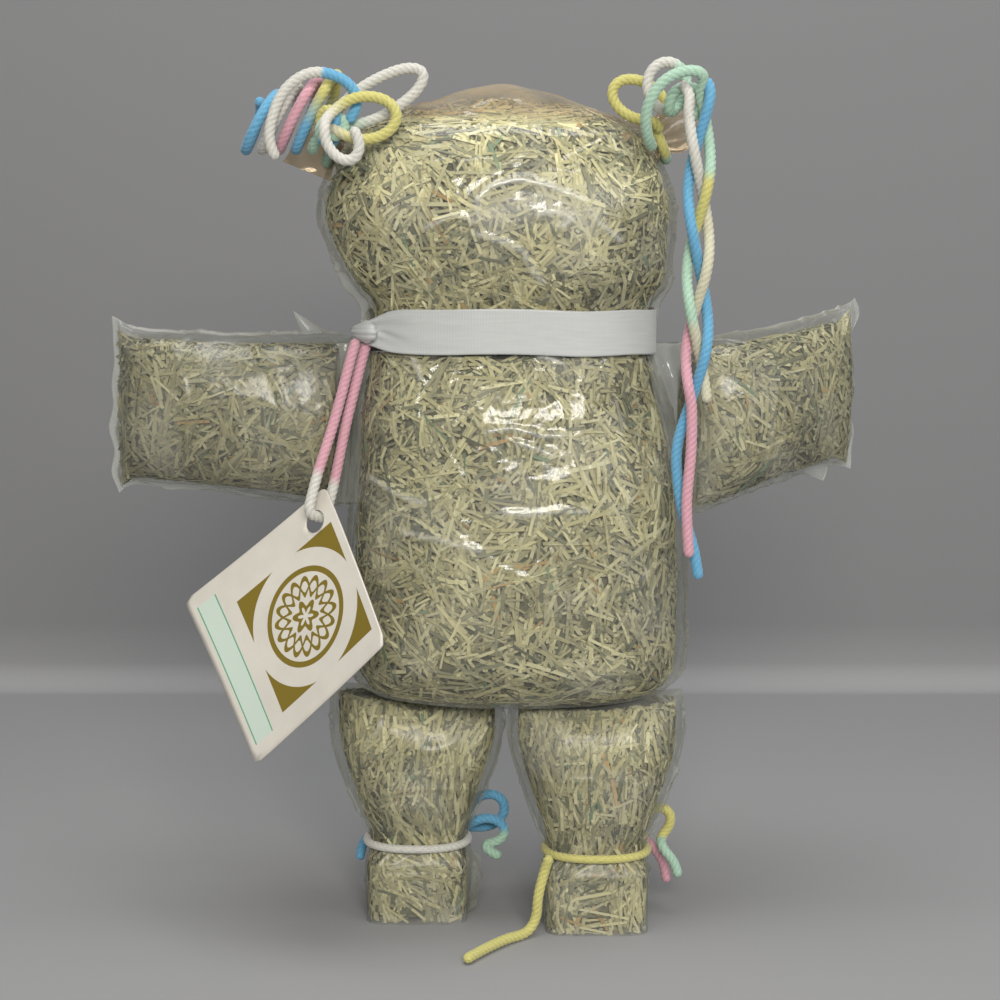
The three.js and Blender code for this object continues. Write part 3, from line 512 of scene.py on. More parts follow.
@dataclass(frozen=True)
class YarnFinish:
    """Acrylic yarn, spun and plied: matt and soft, its plies twisted, dyed in pastel stretches."""

    roughness: float = 0.9
    fibre_mm: float = 0.35

    def make(self) -> bpy.types.Material:
        """The yarn's material; its colour is the attribute tint, and fibres run slantwise in its UV."""
        nodes = Nodes("acrylic_yarn_plied")
        slant = nodes.add("Mapping", {"Vector": nodes.place("UV"), "Rotation": (0.0, 0.0, 0.6),
                                      "Scale": (0.35, 1.0, 1.0)})
        fibre = nodes.noise(slant.outputs[0], self.fibre_mm, 3.0)
        colour = nodes.vector("MULTIPLY", nodes.tint("Color"), nodes.mapped(fibre, 0.3, 0.7, 0.82, 1.06))
        return nodes.finish(nodes.add("BsdfPrincipled", {
            "Base Color": colour.outputs[0], "Roughness": self.roughness, "Sheen Weight": 0.25,
            "Sheen Roughness": 0.5, "Specular IOR Level": 0.2, "Normal": nodes.bump(fibre, 0.5, 0.0003)}))


@dataclass(frozen=True)
class RibbonFinish:
    """Polyester satin, woven narrow: a smooth silvery face with fine ribs across and a firm edge, and lengthwise
    streaks from shade to colour that are painted sheen.
    """

    colour: str = "C6C7C4"
    # the shaded grey of the painted sheen streaks
    shade: str = "B0B3B3"
    roughness: float = 0.36
    rib_mm: float = 0.8

    def make(self) -> bpy.types.Material:
        """The ribbon's material; UV runs in mm along and across the ribbon."""
        nodes = Nodes("polyester_satin_woven")
        uv = nodes.place("UV")
        ribs = nodes.add("TexWave", {"Vector": uv, "Scale": 1 / (self.rib_mm * 3.2), "Distortion": 1.2,
                                     "Detail": 1.0, "Detail Scale": 2.0})
        # painted sheen: streaks along the ribbon between a shaded and a lit grey
        stretch = nodes.add("Mapping", {"Vector": uv, "Scale": (0.12, 1.6, 1.0)})
        painted_sheen_streak = nodes.noise(stretch.outputs[0], 1.0, 3.0)
        return nodes.finish(nodes.add("BsdfPrincipled", {
            "Base Color": nodes.mix(painted_sheen_streak, linear(self.shade), linear(self.colour)), "Roughness": self.roughness,
            "Sheen Weight": 0.3, "Sheen Roughness": 0.35, "Anisotropic": 0.5,
            "Normal": nodes.bump(ribs.outputs[1], 0.12, 0.0002)}))


@dataclass(frozen=True)
class CardFinish:
    """Coated card, printed and foil stamped: off-white, with gold foil round a disc, a rosette and a green band.

    Each row of the rosette is a ring of radius middle + swing*cos(petals*angle): its petals, middle, swing and half
    the width of its line.
    """

    paper: str = "D9D4C9"
    gold: str = "A58F3A"
    band: str = "CBDACD"
    line: str = "5FA582"
    side: float = 54.0
    square: float = 18.4
    disc: float = 18.9
    rosette: tuple[tuple[float, float, float, float], ...] = (
        (8.0, 8.2, 2.3, 0.75), (-8.0, 8.2, -2.3, 0.75), (1.0, 13.0, 0.0, 0.8), (6.0, 2.8, 1.0, 1.0))
    ruled_half: float = 3.5
    band_half: float = 3.1
    mottle_mm: float = 9.0

    def make(self) -> bpy.types.Material:
        """The card's material; UV runs in mm from the card's holed corner."""
        nodes = Nodes("coated_card_foil_stamped")
        uv = nodes.place("UV")
        right, down, _ = nodes.add("SeparateXYZ", {"Vector": uv}).outputs
        centred = nodes.vector("SUBTRACT", uv, (self.side * 0.54, self.side * 0.385, 0.0)).outputs[0]
        away = nodes.vector("LENGTH", centred).outputs["Value"]
        x, y, _ = nodes.add("SeparateXYZ", {"Vector": centred}).outputs
        angle = nodes.number("ARCTAN2", y, x)
        boxed = nodes.number("MULTIPLY", *(nodes.number("COMPARE", part, 0.0, self.square) for part in (x, y)))
        gold = nodes.number("MULTIPLY", boxed, nodes.number("GREATER_THAN", away, self.disc))
        for petal_count, middle, swing, half in self.rosette:
            wave = nodes.number("COSINE", nodes.number("MULTIPLY", angle, petal_count))
            ring = nodes.number("MULTIPLY_ADD", wave, swing, middle)
            gold = nodes.number("MAXIMUM", gold, nodes.number("COMPARE", away, ring, half))
        inside = nodes.number("COMPARE", right, self.side / 2, self.side * 0.42)
        ruled, filled = (nodes.number("MULTIPLY", nodes.number("COMPARE", down, self.side * 0.885, half), inside)
                         for half in (self.ruled_half, self.band_half))
        worn = nodes.mapped(nodes.noise(uv, self.mottle_mm, 4.0), 0.3, 0.7, 0.93, 1.02)
        paper = nodes.vector("MULTIPLY", linear(self.paper)[:3], worn).outputs[0]
        banded = nodes.mix(filled, nodes.mix(ruled, paper, linear(self.line)), linear(self.band))
        printed = nodes.tint("Fac")
        foil = nodes.number("MULTIPLY", gold, printed)
        return nodes.finish(nodes.add("BsdfPrincipled", {
            "Base Color": nodes.mix(foil, nodes.mix(printed, paper, banded), linear(self.gold)),
            "Metallic": nodes.number("MULTIPLY", foil, 0.55), "Roughness": nodes.mapped(foil, 0.0, 1.0, 0.5, 0.34)}))


@dataclass(frozen=True)
class StudioFinish:
    """Seamless paper, rolled: a plain matt grey with painted shade that darkens it up the wall, and clear from behind
    for back views.
    """

    colour: str = "9C9C9D"
    # painted shade: the wall's darker grey, for the light that falls less on it than on the floor
    wall: str = "848485"
    grain: float = 1 / 900

    def make(self) -> bpy.types.Material:
        """The floor and backdrop's material."""
        nodes = Nodes("seamless_paper_rolled")
        place = nodes.place("Object")
        # painted shade: the paper darkens from the floor up the wall
        rise = nodes.mapped(nodes.add("SeparateXYZ", {"Vector": place}).outputs[2], 0.0, 0.03)
        sheet = nodes.add("BsdfPrincipled", {
            "Base Color": nodes.mix(rise, linear(self.colour), linear(self.wall)), "Roughness": 0.8,
            "Specular IOR Level": 0.2, "Normal": nodes.bump(nodes.noise(place, self.grain, 2.0), 0.05, 0.0002)})
        behind = nodes.add("NewGeometry").outputs["Backfacing"]
        return nodes.finish(nodes.blended(behind, sheet, nodes.add("BsdfTransparent")))


@dataclass
class Finishes:
    """The materials that pieces share, each made once."""

    film: bpy.types.Material = field(default_factory=FilmFinish().make)
    shreds: bpy.types.Material = field(default_factory=ShredFinish().make)
    yarn: bpy.types.Material = field(default_factory=YarnFinish().make)
    ribbon: bpy.types.Material = field(default_factory=RibbonFinish().make)
    card: bpy.types.Material = field(default_factory=CardFinish().make)
    studio: bpy.types.Material = field(default_factory=StudioFinish().make)


@dataclass(frozen=True)
class Bend:
    """Where a soft piece bends at a joint: the body below it, and the places between which it turns to its own body."""

    body: Body
    start: Triple
    end: Triple


def dress(piece: bpy.types.Object, finish: bpy.types.Material, slot: Slot, body: Body, *nodes: str,
          bend: Bend | None = None) -> bpy.types.Object:
    """Give a piece its material and set it on its body, or, where it bends, bake its place into its mesh instead.

    Args:
        piece: The finished piece.
        finish: Its material.
        slot: Not used.
        body: The body that it rides on.
        nodes: The CAD nodes that it stands for.
        bend: Where it bends from another body to its own, if it does.

    Returns:
        The piece.
    """
    piece.data.materials.append(finish)
    if bend:
        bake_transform(piece)
    else:
        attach(piece, body.value)
    if nodes:
        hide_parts(*nodes)
    log.info("%s: %d faces, on %s", piece.name, len(piece.data.polygons), body.value)
    return piece


# ---------------------------------------------------------------------------------------------------------------
# Yarn


@dataclass
class YarnRun:
    """One run of plied yarn: its route, its colours in order and what it rides on."""

    name: str
    route: Array
    dyes: tuple[tuple[float, Dye], ...]
    slot: Slot
    body: Body
    nodes: tuple[str, ...] = ()
    closed: bool = False
    thick: float = YARN
    plies: int = 4
    pitch: float = 6.4
    sides: int = 20
    step: float = 0.4
    eased: int = 30

    def line(self) -> Array:
        """The yarn's middle line, at even steps, its tight turns eased by moving points towards their neighbours."""
        if self.closed:
            return self.route
        path = curve_through(self.route, self.step)
        for _ in range(self.eased):
            path[1:-1] += 0.25 * (path[:-2] - 2 * path[1:-1] + path[2:])
        return path

    def build(self, finishes: Finishes) -> bpy.types.Object:
        """Carry a lobed section along the route.

        The section's radius is the larger of the plies' circles round the middle, so it has one lobe for each ply, and
        it turns once in each pitch. At a free end it draws in over one thickness to a blunt tip.

        Args:
            finishes: The shared materials.

        Returns:
            The yarn.
        """
        path = self.line()
        side, over = frames_along(path, self.closed)
        run = run_along(path)
        total = run[-1] + (np.linalg.norm(path[0] - path[-1]) if self.closed else 0.0)
        twists = round(total / self.pitch) if self.closed else total / self.pitch
        turn = circle(self.sides)[None, :]
        phase = 2 * math.pi * twists * run[:, None] / total
        lobe = np.abs(np.cos(self.plies * (turn - phase) / 2))
        size = self.thick / 2 * (0.86 + 0.19 * lobe ** 0.8)
        if not self.closed:
            end = np.minimum(run, total - run)[:, None] / (self.thick * 0.6)
            size = size * np.sqrt(np.clip(1 - (1 - np.clip(end, 0, 1)) ** 2, 0.0, 1.0))
        across = side[:, None, :] * np.cos(turn)[..., None] + over[:, None, :] * np.sin(turn)[..., None]
        points = path[:, None, :] + across * size[..., None]
        rows = len(path)
        faces = grid_faces(rows, self.sides, self.closed, True)
        along = np.append(run, total)
        around = np.linspace(0, math.pi * self.thick, self.sides + 1)
        uv = grid_uv(rows, self.sides, self.closed, True, along, around)
        piece = put_mesh(self.name, points, faces, self.colours(run / total, lobe), uv)
        return dress(piece, finishes.yarn, self.slot, self.body, *self.nodes)

    def colours(self, share: Array, lobe: Array) -> Array:
        """Each point's colour: the dyes follow one another along the yarn and fade into each other, with painted shade
        that darkens the grooves between the plies.

        Args:
            share: Share of the length at each ring.
            lobe: How high each point lies on its ply, from 0 in a groove to 1.

        Returns:
            Linear RGBA for each point.
        """
        stops = np.array([stop for stop, dye in self.dyes])
        hues = np.array([linear(dye.value) for stop, dye in self.dyes])
        ring = np.stack([np.interp(share, stops, hues[:, k]) for k in range(4)], axis=-1)
        # painted shade: a point in a groove between plies is darkened to 0.78 of its dye
        shade = 0.78 + 0.22 * np.clip(lobe * 1.6, 0, 1)
        return ring[:, None, :] * np.dstack([shade, shade, shade, np.ones_like(shade)])


def stretches(*dyes: tuple[float, Dye]) -> tuple[tuple[float, Dye], ...]:
    """Dyed stretches of a yarn as colour stops.

    Args:
        dyes: Each dye with the share of the yarn at which it ends.

    Returns:
        Stops with a short fade from each dye to the next.
    """
    stops: list[tuple[float, Dye]] = []
    start = 0.0
    for end, dye in dyes:
        stops += [(start + FADE, dye), (end - FADE, dye)]
        start = end
    return tuple(stops)


def petals(base: Array, hand: float, loops: Sequence[Triple]) -> list[Array]:
    """Open loops that leave one base in turn, each a step nearer the viewer than the last.

    A loop lies flat: out from the base by long(1 - cos t)/2 along its heading and across it by wide sin(t)/2.

    Args:
        base: Where the loops start.
        hand: 1 or -1, the way round.
        loops: Heading in degrees, length and width of each loop, in mm.

    Returns:
        Points along the loops.
    """
    points: list[Array] = []
    place = base.copy()
    for n, (heading, long, wide) in enumerate(loops):
        angle = math.radians(heading)
        out = np.array([math.cos(angle), 0.0, math.sin(angle)])
        across = hand * np.array([-math.sin(angle), 0.0, math.cos(angle)])
        last = n == len(loops) - 1
        turn = np.radians(np.linspace(LOOP_GAP, 360 - LOOP_GAP * (2.4 if last else 1), 9))[:, None]
        points += list(place + out * long * (1 - np.cos(turn)) / 2 + across * wide * np.sin(turn) / 2)
        place[1] -= LOOP_STEP
        if not last:
            points.append(place - out * LOOP_DIP + np.array([0.0, LOOP_STEP / 2, 0.0]))
    return points


def oval(turn: Array, wide: float, deep: float, power: float = OVAL_POWER) -> tuple[Array, Array]:
    """Points on a rounded oval and the directions out of it.

    The oval is |x/wide|^p + |y/deep|^p = 1, and the way out is along its gradient.

    Args:
        turn: Angles, in radians.
        wide: Half width, in mm.
        deep: Half depth, in mm.
        power: The exponent p, where 2 is an ellipse and more is boxier.

    Returns:
        The points and the unit directions, with z of 0.
    """
    c, s = np.cos(turn), np.sin(turn)
    x = wide * np.sign(c) * np.abs(c) ** (2 / power)
    y = deep * np.sign(s) * np.abs(s) ** (2 / power)
    gx = np.sign(x) * np.abs(x / wide) ** (power - 1) / wide
    gy = np.sign(y) * np.abs(y / deep) ** (power - 1) / deep
    none = np.zeros_like(x)
    return np.stack([x, y, none], axis=-1), unit(np.stack([gx, gy, none], axis=-1))


@dataclass
class Pigtails:
    """The yarn bunches that tie off the head's two top corners, and the braid that hangs from the right one."""

    left_tie: Array = fixed(-46.472, 0.0, 218.9225)
    right_tie: Array = fixed(40.5385, 0.0, 219.9942)
    tie_round: float = 6.2
    left_lean: float = 24.0
    right_lean: float = 26.0
    turns: float = 4.625
    coil_pitch: float = 4.4
    short: float = 13.0
    tall: float = 21.0
    deep: float = 14.0
    coil_lean: float = 0.46
    arch: Array = fixed(
        (-13.6, -20.8, -6.0), (-15.4, -21.7, -1.5), (-14.6, -21.8, 4.5), (-11.0, -21.8, 12.0), (-4.2, -21.7, 16.3),
        (2.6, -21.3, 15.2), (6.7, -20.9, 12.0), (7.4, -20.6, 7.6), (4.9, -20.4, 3.5))
    knot_step: Array = fixed(0.6, -21.0, 2.6)
    coil_step: Array = fixed(-4.8, -11.6, -2.92)
    braid_step: Array = fixed(8.76, -27.5, 9.51)
    braid_arc: Array = fixed(
        (-11.3, 8.0, -13.5), (-13.3, 2.0, -10.5), (-13.9, -2.5, -4.5), (-10.3, -4.5, 2.0), (-4.7, -4.9, 4.9),
        (0.3, -3.9, 4.4))
    braid_tops: tuple[Triple, ...] = ((1.5, -0.9, 3.4), (-4.6, 4.2, 3.0))
    braid_spread: float = 2.8
    braid_deep: float = 2.5
    braid_length: float = 79.5
    braid_period: float = 64.0

    def left_route(self) -> Array:
        """Wound loops that grow taller towards the tie, lean to it and reach down to one level, then open loops."""
        share = np.linspace(0, 1, 57)
        turn = 2 * math.pi * self.turns * share
        rise = (self.short + (self.tall - self.short) * share) / 2 * (1 + np.cos(turn))
        coil = np.stack([(share - 1) * self.turns * self.coil_pitch + self.coil_lean * rise,
                         self.deep / 2 * np.sin(turn), rise], axis=-1)
        start = self.left_tie + self.coil_step
        loops = petals(self.left_tie + np.array([1.17, -17.4, 3.78]), -1,
                       [(29, 9.64 * YARN, 3.21 * YARN), (5, 6.07 * YARN, 3.93 * YARN), (-60, 4.29 * YARN, 2.86 * YARN)])
        return np.vstack([start + coil, loops])

    def knot(self) -> Array:
        """The knot where the loops meet, a trefoil: (2 + cos 3t)(cos 2t, sin 2t) in its plane and sin 3t through it."""
        t = circle(160)
        far = 2.0 + np.cos(3 * t)
        return self.left_tie + self.knot_step + np.stack([1.15 * far * np.cos(2 * t), 1.5 * np.sin(3 * t),
                                                          1.45 * far * np.sin(2 * t)], axis=-1)

    def right_route(self) -> Array:
        """Three open loops in front of the right tie."""
        start = self.right_tie + np.array([0.18 * YARN, -9.3, 0.36 * YARN])
        base = start + np.array([0.36 * YARN, -0.3, 1.79 * YARN])
        loops = petals(base, 1, [(155, 5.71 * YARN, 3.57 * YARN), (92, 4.64 * YARN, 3.93 * YARN),
                                 (20, 3.21 * YARN, 3.21 * YARN)])
        return np.vstack([start, loops])

    def braid_route(self, strand: int, tail: Sequence[Triple]) -> Array:
        """A strand sways across once and weaves front to back twice in each period, then hangs in its tail.

        The first strand comes out of the bunch and arcs over the tops of the other two, which tuck in under it.

        Args:
            strand: 0, 1 or 2, the third of a period by which it starts.
            tail: Points past the braid, by shares of its spread, depth and length.

        Returns:
            Points along the strand.
        """
        share = np.linspace(0, 1, 21)
        turn = 2 * math.pi * (share * self.braid_length / self.braid_period + strand / 3)
        woven = np.stack([np.sin(turn), np.sin(2 * turn), share], axis=-1)
        shares = np.vstack([woven, np.array(tail).reshape(-1, 3)])
        hanging = shares * np.array([self.braid_spread, self.braid_deep, -self.braid_length])
        start = self.braid_tops[strand - 1] if strand else self.braid_arc
        return self.right_tie + self.braid_step + np.vstack([start, hanging])

    def ring(self, centre: Array, lean: float, hand: float) -> Array:
        """A round tie about a corner that points out and up by its lean."""
        angle = math.radians(lean)
        up = np.array([-hand * math.sin(angle), 0.0, math.cos(angle)])
        turn = circle(64)[:, None]
        return centre + self.tie_round * (up * np.cos(turn) + np.array([0.0, 1.0, 0.0]) * np.sin(turn))

    def build(self, finishes: Finishes) -> None:
        ears = (("left", self.ring(self.left_tie, self.left_lean, -1), stretches((0.5, Dye.PINK), (1, Dye.MINT))),
                ("right", self.ring(self.right_tie, self.right_lean, 1), stretches((0.6, Dye.MINT), (1, Dye.YELLOW))))
        for hand, ring, dyes in ears:
            YarnRun(f"{hand}_ear_yarn", ring, dyes, Slot.MIXED, Body.HEAD, (f"{hand}_ear_tie",),
                    closed=True).build(finishes)
        left = YarnRun(
            "left_pigtail_yarn", self.left_route(),
            stretches((0.14, Dye.BLUE), (0.28, Dye.WHITE), (0.42, Dye.PINK), (0.5, Dye.BLUE), (0.57, Dye.YELLOW),
                      (0.66, Dye.MINT), (0.82, Dye.WHITE), (0.92, Dye.YELLOW), (1, Dye.WHITE)),
            Slot.MIXED, Body.HEAD, ("left_pigtail",))
        loose(left, finishes)
        arch = YarnRun(
            "left_pigtail_arch_yarn", self.left_tie + self.arch, stretches((0.62, Dye.WHITE), (1, Dye.BLUE)),
            Slot.MIXED, Body.HEAD)
        loose(arch, finishes)
        YarnRun("left_pigtail_knot_yarn", self.knot(),
                stretches((0.3, Dye.MINT), (0.6, Dye.BLUE), (0.8, Dye.YELLOW), (1, Dye.MINT)),
                Slot.MIXED, Body.HEAD, closed=True).build(finishes)
        right = YarnRun(
            "right_pigtail_yarn", self.right_route(),
            stretches((0.42, Dye.YELLOW), (0.62, Dye.WHITE), (1, Dye.MINT)),
            Slot.MIXED, Body.HEAD, ("right_pigtail",), eased=70)
        loose(right, finishes)
        strands = (
            ("mint", Slot.MINT, (), stretches((0.5, Dye.MINT), (0.62, Dye.YELLOW), (0.82, Dye.MINT), (1, Dye.CREAM))),
            ("blue", Slot.BLUE, ((-1.7, 0.6, 1.15), (-1.3, 0.5, 1.33), (0.0, 0.5, 1.49), (0.5, 0.5, 1.59)),
             stretches((1, Dye.BLUE))),
            ("pink", Slot.PINK, ((-0.5, -0.9, 1.15), (-0.86, -0.9, 1.33), (-0.57, -0.9, 1.51)),
             stretches((0.26, Dye.WHITE), (0.5, Dye.CREAM), (1, Dye.PINK))),
        )
        for k, (name, slot, tail, dyes) in enumerate(strands):
            strand = YarnRun(f"braid_yarn_{name}", self.braid_route(k, tail), dyes, slot, Body.BRAID,
                             (f"braid_strand_{name}",))
            loose(strand, finishes)


def loose(yarn: YarnRun, finishes: Finishes) -> None:
    """Args:
        yarn: The yarn.
        finishes: The shared materials.
    """
    piece = yarn.build(finishes)
    path = (yarn.line() + SHIFT) * MM


@dataclass
class AnkleTies:
    """The yarn tied round each ankle, with its bow and its loose ends."""

    wide: float = 14.75
    deep: float = 11.0
    ring_thick: float = 2.3
    left: Array = fixed(-25.7, 7.0, 22.0)
    right: Array = fixed(25.3, -2.0, 22.0)
    floor_height: float = 1.7

    def ring(self, ankle: Array) -> Array:
        """The tie's oval round an ankle, drawn in by what the taut yarn has thinned."""
        drawn = (YARN - self.ring_thick) / 2
        return ankle + oval(circle(120), self.wide - drawn, self.deep - drawn)[0]

    def touch(self, ankle: Array, degrees: float) -> Array:
        """Where a second yarn lies against the tie, out from its middle line."""
        point, out = oval(np.array([math.radians(degrees)]), self.wide, self.deep)
        return ankle + point[0] + out[0] * (YARN + 0.45)

    def near(self, place: Array, x: float, y: float, z: float) -> Array:
        """A point so many yarn thicknesses from a place."""
        return place + np.array([x, y, z]) * YARN

    def on_floor(self, x: float, y: float) -> Array:
        """A point of yarn that lies on the floor, by its place in front of the right ankle."""
        point = self.near(self.right, x, y, 0.0)
        point[2] = self.floor_height
        return point

    def build(self, finishes: Finishes) -> None:
        """Make both ties, their bows and the tail on the floor."""
        YarnRun("left_ankle_yarn", self.ring(self.left), stretches((1, Dye.WHITE)), Slot.MIXED, Body.LEFT_LEG,
                ("left_ankle_tie",), closed=True, thick=self.ring_thick).build(finishes)
        YarnRun("right_ankle_yarn", self.ring(self.right), stretches((1, Dye.YELLOW)), Slot.YELLOW, Body.RIGHT_LEG,
                ("right_ankle_tie",), closed=True, thick=self.ring_thick).build(finishes)
        base = self.near(self.touch(self.left, 45), 0.75, 0.75, 0.36)
        left = np.vstack([
            self.near(self.left, -6.18, 2.5, -3.21), self.near(self.left, -5.96, 3.39, -1.61),
            self.touch(self.left, 125), self.touch(self.left, 90), self.touch(self.left, 60),
            petals(base, 1, [(34, 4.29 * YARN, 3.57 * YARN), (-8, 3.93 * YARN, 2.86 * YARN)]),
            self.near(self.left, 7.04, 1.61, -1.79), self.near(self.left, 8.64, 1.43, -2.5),
        ])
        bow = YarnRun("left_ankle_bow_yarn", left, stretches((0.86, Dye.BLUE), (1, Dye.MINT)), Slot.BLUE, Body.LEFT_LEG,
                      ("left_ankle_bow",), eased=70)
        loose(bow, finishes)
        base = self.touch(self.right, 40)
        right = np.vstack([
            self.near(self.right, 7.57, 3.93, -5), self.near(self.right, 7.21, 4.07, -2.86),
            self.near(base, 1.07, 0.54, -1.07), petals(base, 1, [(48, 3.93 * YARN, 2.86 * YARN)]),
            self.near(self.right, 6.86, 2, -0.54), self.near(self.right, 8.11, 1.93, -2.14),
            self.near(self.right, 8.57, 1.93, -3.75),
        ])
        bow = YarnRun("right_ankle_bow_yarn", right, stretches((0.3, Dye.PINK), (0.76, Dye.YELLOW), (1, Dye.MINT)),
                      Slot.MIXED, Body.RIGHT_LEG, ("right_ankle_bow",))
        loose(bow, finishes)
        tail = np.vstack([
            self.near(self.touch(self.right, 222), 0, 0, 0.36), self.near(self.touch(self.right, 216), 0, 0, -1.07),
            self.near(self.right, -5.96, -3.79, -3.93), self.near(self.right, -6.14, -3.71, -6.07),
            self.on_floor(-6.96, -4.29), self.on_floor(-9.04, -6.25), self.on_floor(-11.18, -8.93),
            self.on_floor(-13.07, -11.79),
        ])
        end = YarnRun("right_ankle_tail_yarn", tail, stretches((1, Dye.YELLOW)), Slot.YELLOW, Body.RIGHT_LEG,
                      ("right_ankle_tail",))
        loose(end, finishes)


# ---------------------------------------------------------------------------------------------------------------
# Pouches


@dataclass(frozen=True)
class PouchForm:
    """The form of a stuffed pouch: an oval section that changes along a line.

    At station z the section is |x/a|^p + |y/b|^p = 1 with the half width a, half depth b and exponent p of that
    station, moved sideways by its lean. Where x is below 0 the section slants, moved along by slant times x. A bow
    moves its middle along and its sides back, by bow(1 - 1.5 (x/a)^2).
    """

    root: Array
    across: Array
    along: Array
    length: float
    half_width: SizeRun
    half_depth: SizeRun
    power: SizeRun = lambda z: np.full_like(z, OVAL_POWER)
    lean: SizeRun = lambda z: np.zeros_like(z)
    slant: SizeRun = lambda z: np.zeros_like(z)
    bow: SizeRun = lambda z: np.zeros_like(z)

    @property
    def deep(self) -> Array:
        """The direction through the pouch from its back face to its front one, or the other way."""
        return np.cross(self.along, self.across)

    def place(self, x: Array, y: Array, z: Array) -> Array:
        """Points of the pouch's own frame in the doll's."""
        return self.root + x[..., None] * self.across + y[..., None] * self.deep + z[..., None] * self.along

    def skin(self, turn: Array, z: Array, inset: Array | float,
             margin: tuple[Array | float, Array | float] = (0.0, 0.0),
             thinned: Array | float = 0.0) -> Array:
        """Points on the pouch at a depth under its skin.

        Args:
            turn: Angle round the section, in radians.
            z: Station along the pouch, in mm.
            inset: Depth under the skin, in mm.
            margin: Clear film left at the low and the high side seam, in mm, where the stuffing keeps away.
            thinned: Share of the half depth that the stuffing has lost where it rounds off under a seal.

        Returns:
            Points in the doll's frame.
        """
        low, high = margin
        wide = np.maximum(self.half_width(z) - inset - (low + high) / 2, 0.3)
        deep = np.maximum(self.half_depth(z) * (1 - thinned) - inset, 0.15)
        power = self.power(z)
        c, s = np.cos(turn), np.sin(turn)
        x = wide * np.sign(c) * np.abs(c) ** (2 / power) + (low - high) / 2
        y = deep * np.sign(s) * np.abs(s) ** (2 / power)
        bowed = self.bow(z) * (1 - 1.5 * (x / self.half_width(z)) ** 2)
        return self.place(self.lean(z) + x, y, z + np.minimum(x, 0.0) * self.slant(z) + bowed)

    def normals(self, turn: Array, z: Array) -> Array:
        """Unit directions out of the skin, from small steps round and along it."""
        step = 0.02
        round_it = self.skin(turn + step, z, 0.0) - self.skin(turn - step, z, 0.0)
        low, high = np.clip(z - 0.4, 0, self.length), np.clip(z + 0.4, 0, self.length)
        along_it = self.skin(turn, high, 0.0) - self.skin(turn, low, 0.0)
        out = unit(np.cross(round_it, along_it))
        middle = self.place(self.lean(z), np.zeros_like(z), z)
        side = np.sign(((self.skin(turn, z, 0.0) - middle) * out).sum(axis=-1, keepdims=True))
        return out * np.where(side == 0, 1.0, side)


@dataclass(frozen=True)
class Pleats:
    """Folds that a tie draws into the film: their station, how many go round and how far they reach along it."""

    at: float
    count: int
    tall: float
    reach: float

    def near(self, z: Array, reach: float) -> Array:
        """How near each station is to the tie, from 1 at it to 0, as a bell curve of one reach."""
        return np.exp(-((z - self.at) / reach) ** 2)


@dataclass(frozen=True)
class Flare:
    """A place where a side seam's fin stands out: its side, its station, how far it reaches along and how far out.

    Its tip may lean along the pouch.
    """

    side: float
    at: float
    reach: float
    out: float
    taper: float = 1.0
    lean: float = 0.0

    def rise(self, turn: Array, z: Array) -> Array:
        """How far the fin stands out: full at its station, falling evenly to 0 over its tapered share of the reach."""
        share = np.clip((self.reach - np.abs(z - self.at)) / (self.reach * self.taper), 0, 1)
        return self.out * share * (np.sign(np.cos(turn)) == self.side)


@dataclass(frozen=True)
class Fold:
    """A fold that stands up from the front film: its line by x and z in the doll's frame, its height, its width and its
    whiteness, which is partly milky film and partly a painted highlight of the fold's glare.
    """

    line: tuple[tuple[float, float], ...]
    tall: float = 0.7
    wide: float = 0.9
    whitening_and_glare: float = 0.3

    def rise(self, points: Array) -> Array:
        """The fold's height at each front point, tall*exp(-(d/wide)^2) for the distance d from its line."""
        flat = points[..., [0, 2]]
        away = np.full(flat.shape[:-1], 1e3)
        for start, end in zip(np.array(self.line[:-1]), np.array(self.line[1:])):
            way = end - start
            share = np.clip((flat - start) @ way / (way @ way), 0, 1)
            away = np.minimum(away, np.linalg.norm(flat - start - share[..., None] * way, axis=-1))
        return np.where(points[..., 1] < 0, self.tall * np.exp(-(away / self.wide) ** 2), 0.0)


class Draw(IntEnum):
    """The random fields of a pouch; each number is added to the pouch's seed."""

    CREASE = 1
    FINE_CREASE = 2
    DENT = 3
    PUCKER = 4
    DRIFT = 5
    FIN = 6
    MILK = 7
    PATCH = 8
    CORE = 9
    LIE = 10
    AGED = 12
    SLIP = 13


CREASES = ((Draw.CREASE, 34.0, 0.5, 0.08), (Draw.FINE_CREASE, 17.0, 0.3, 0.1))  # wavelength, height and half width


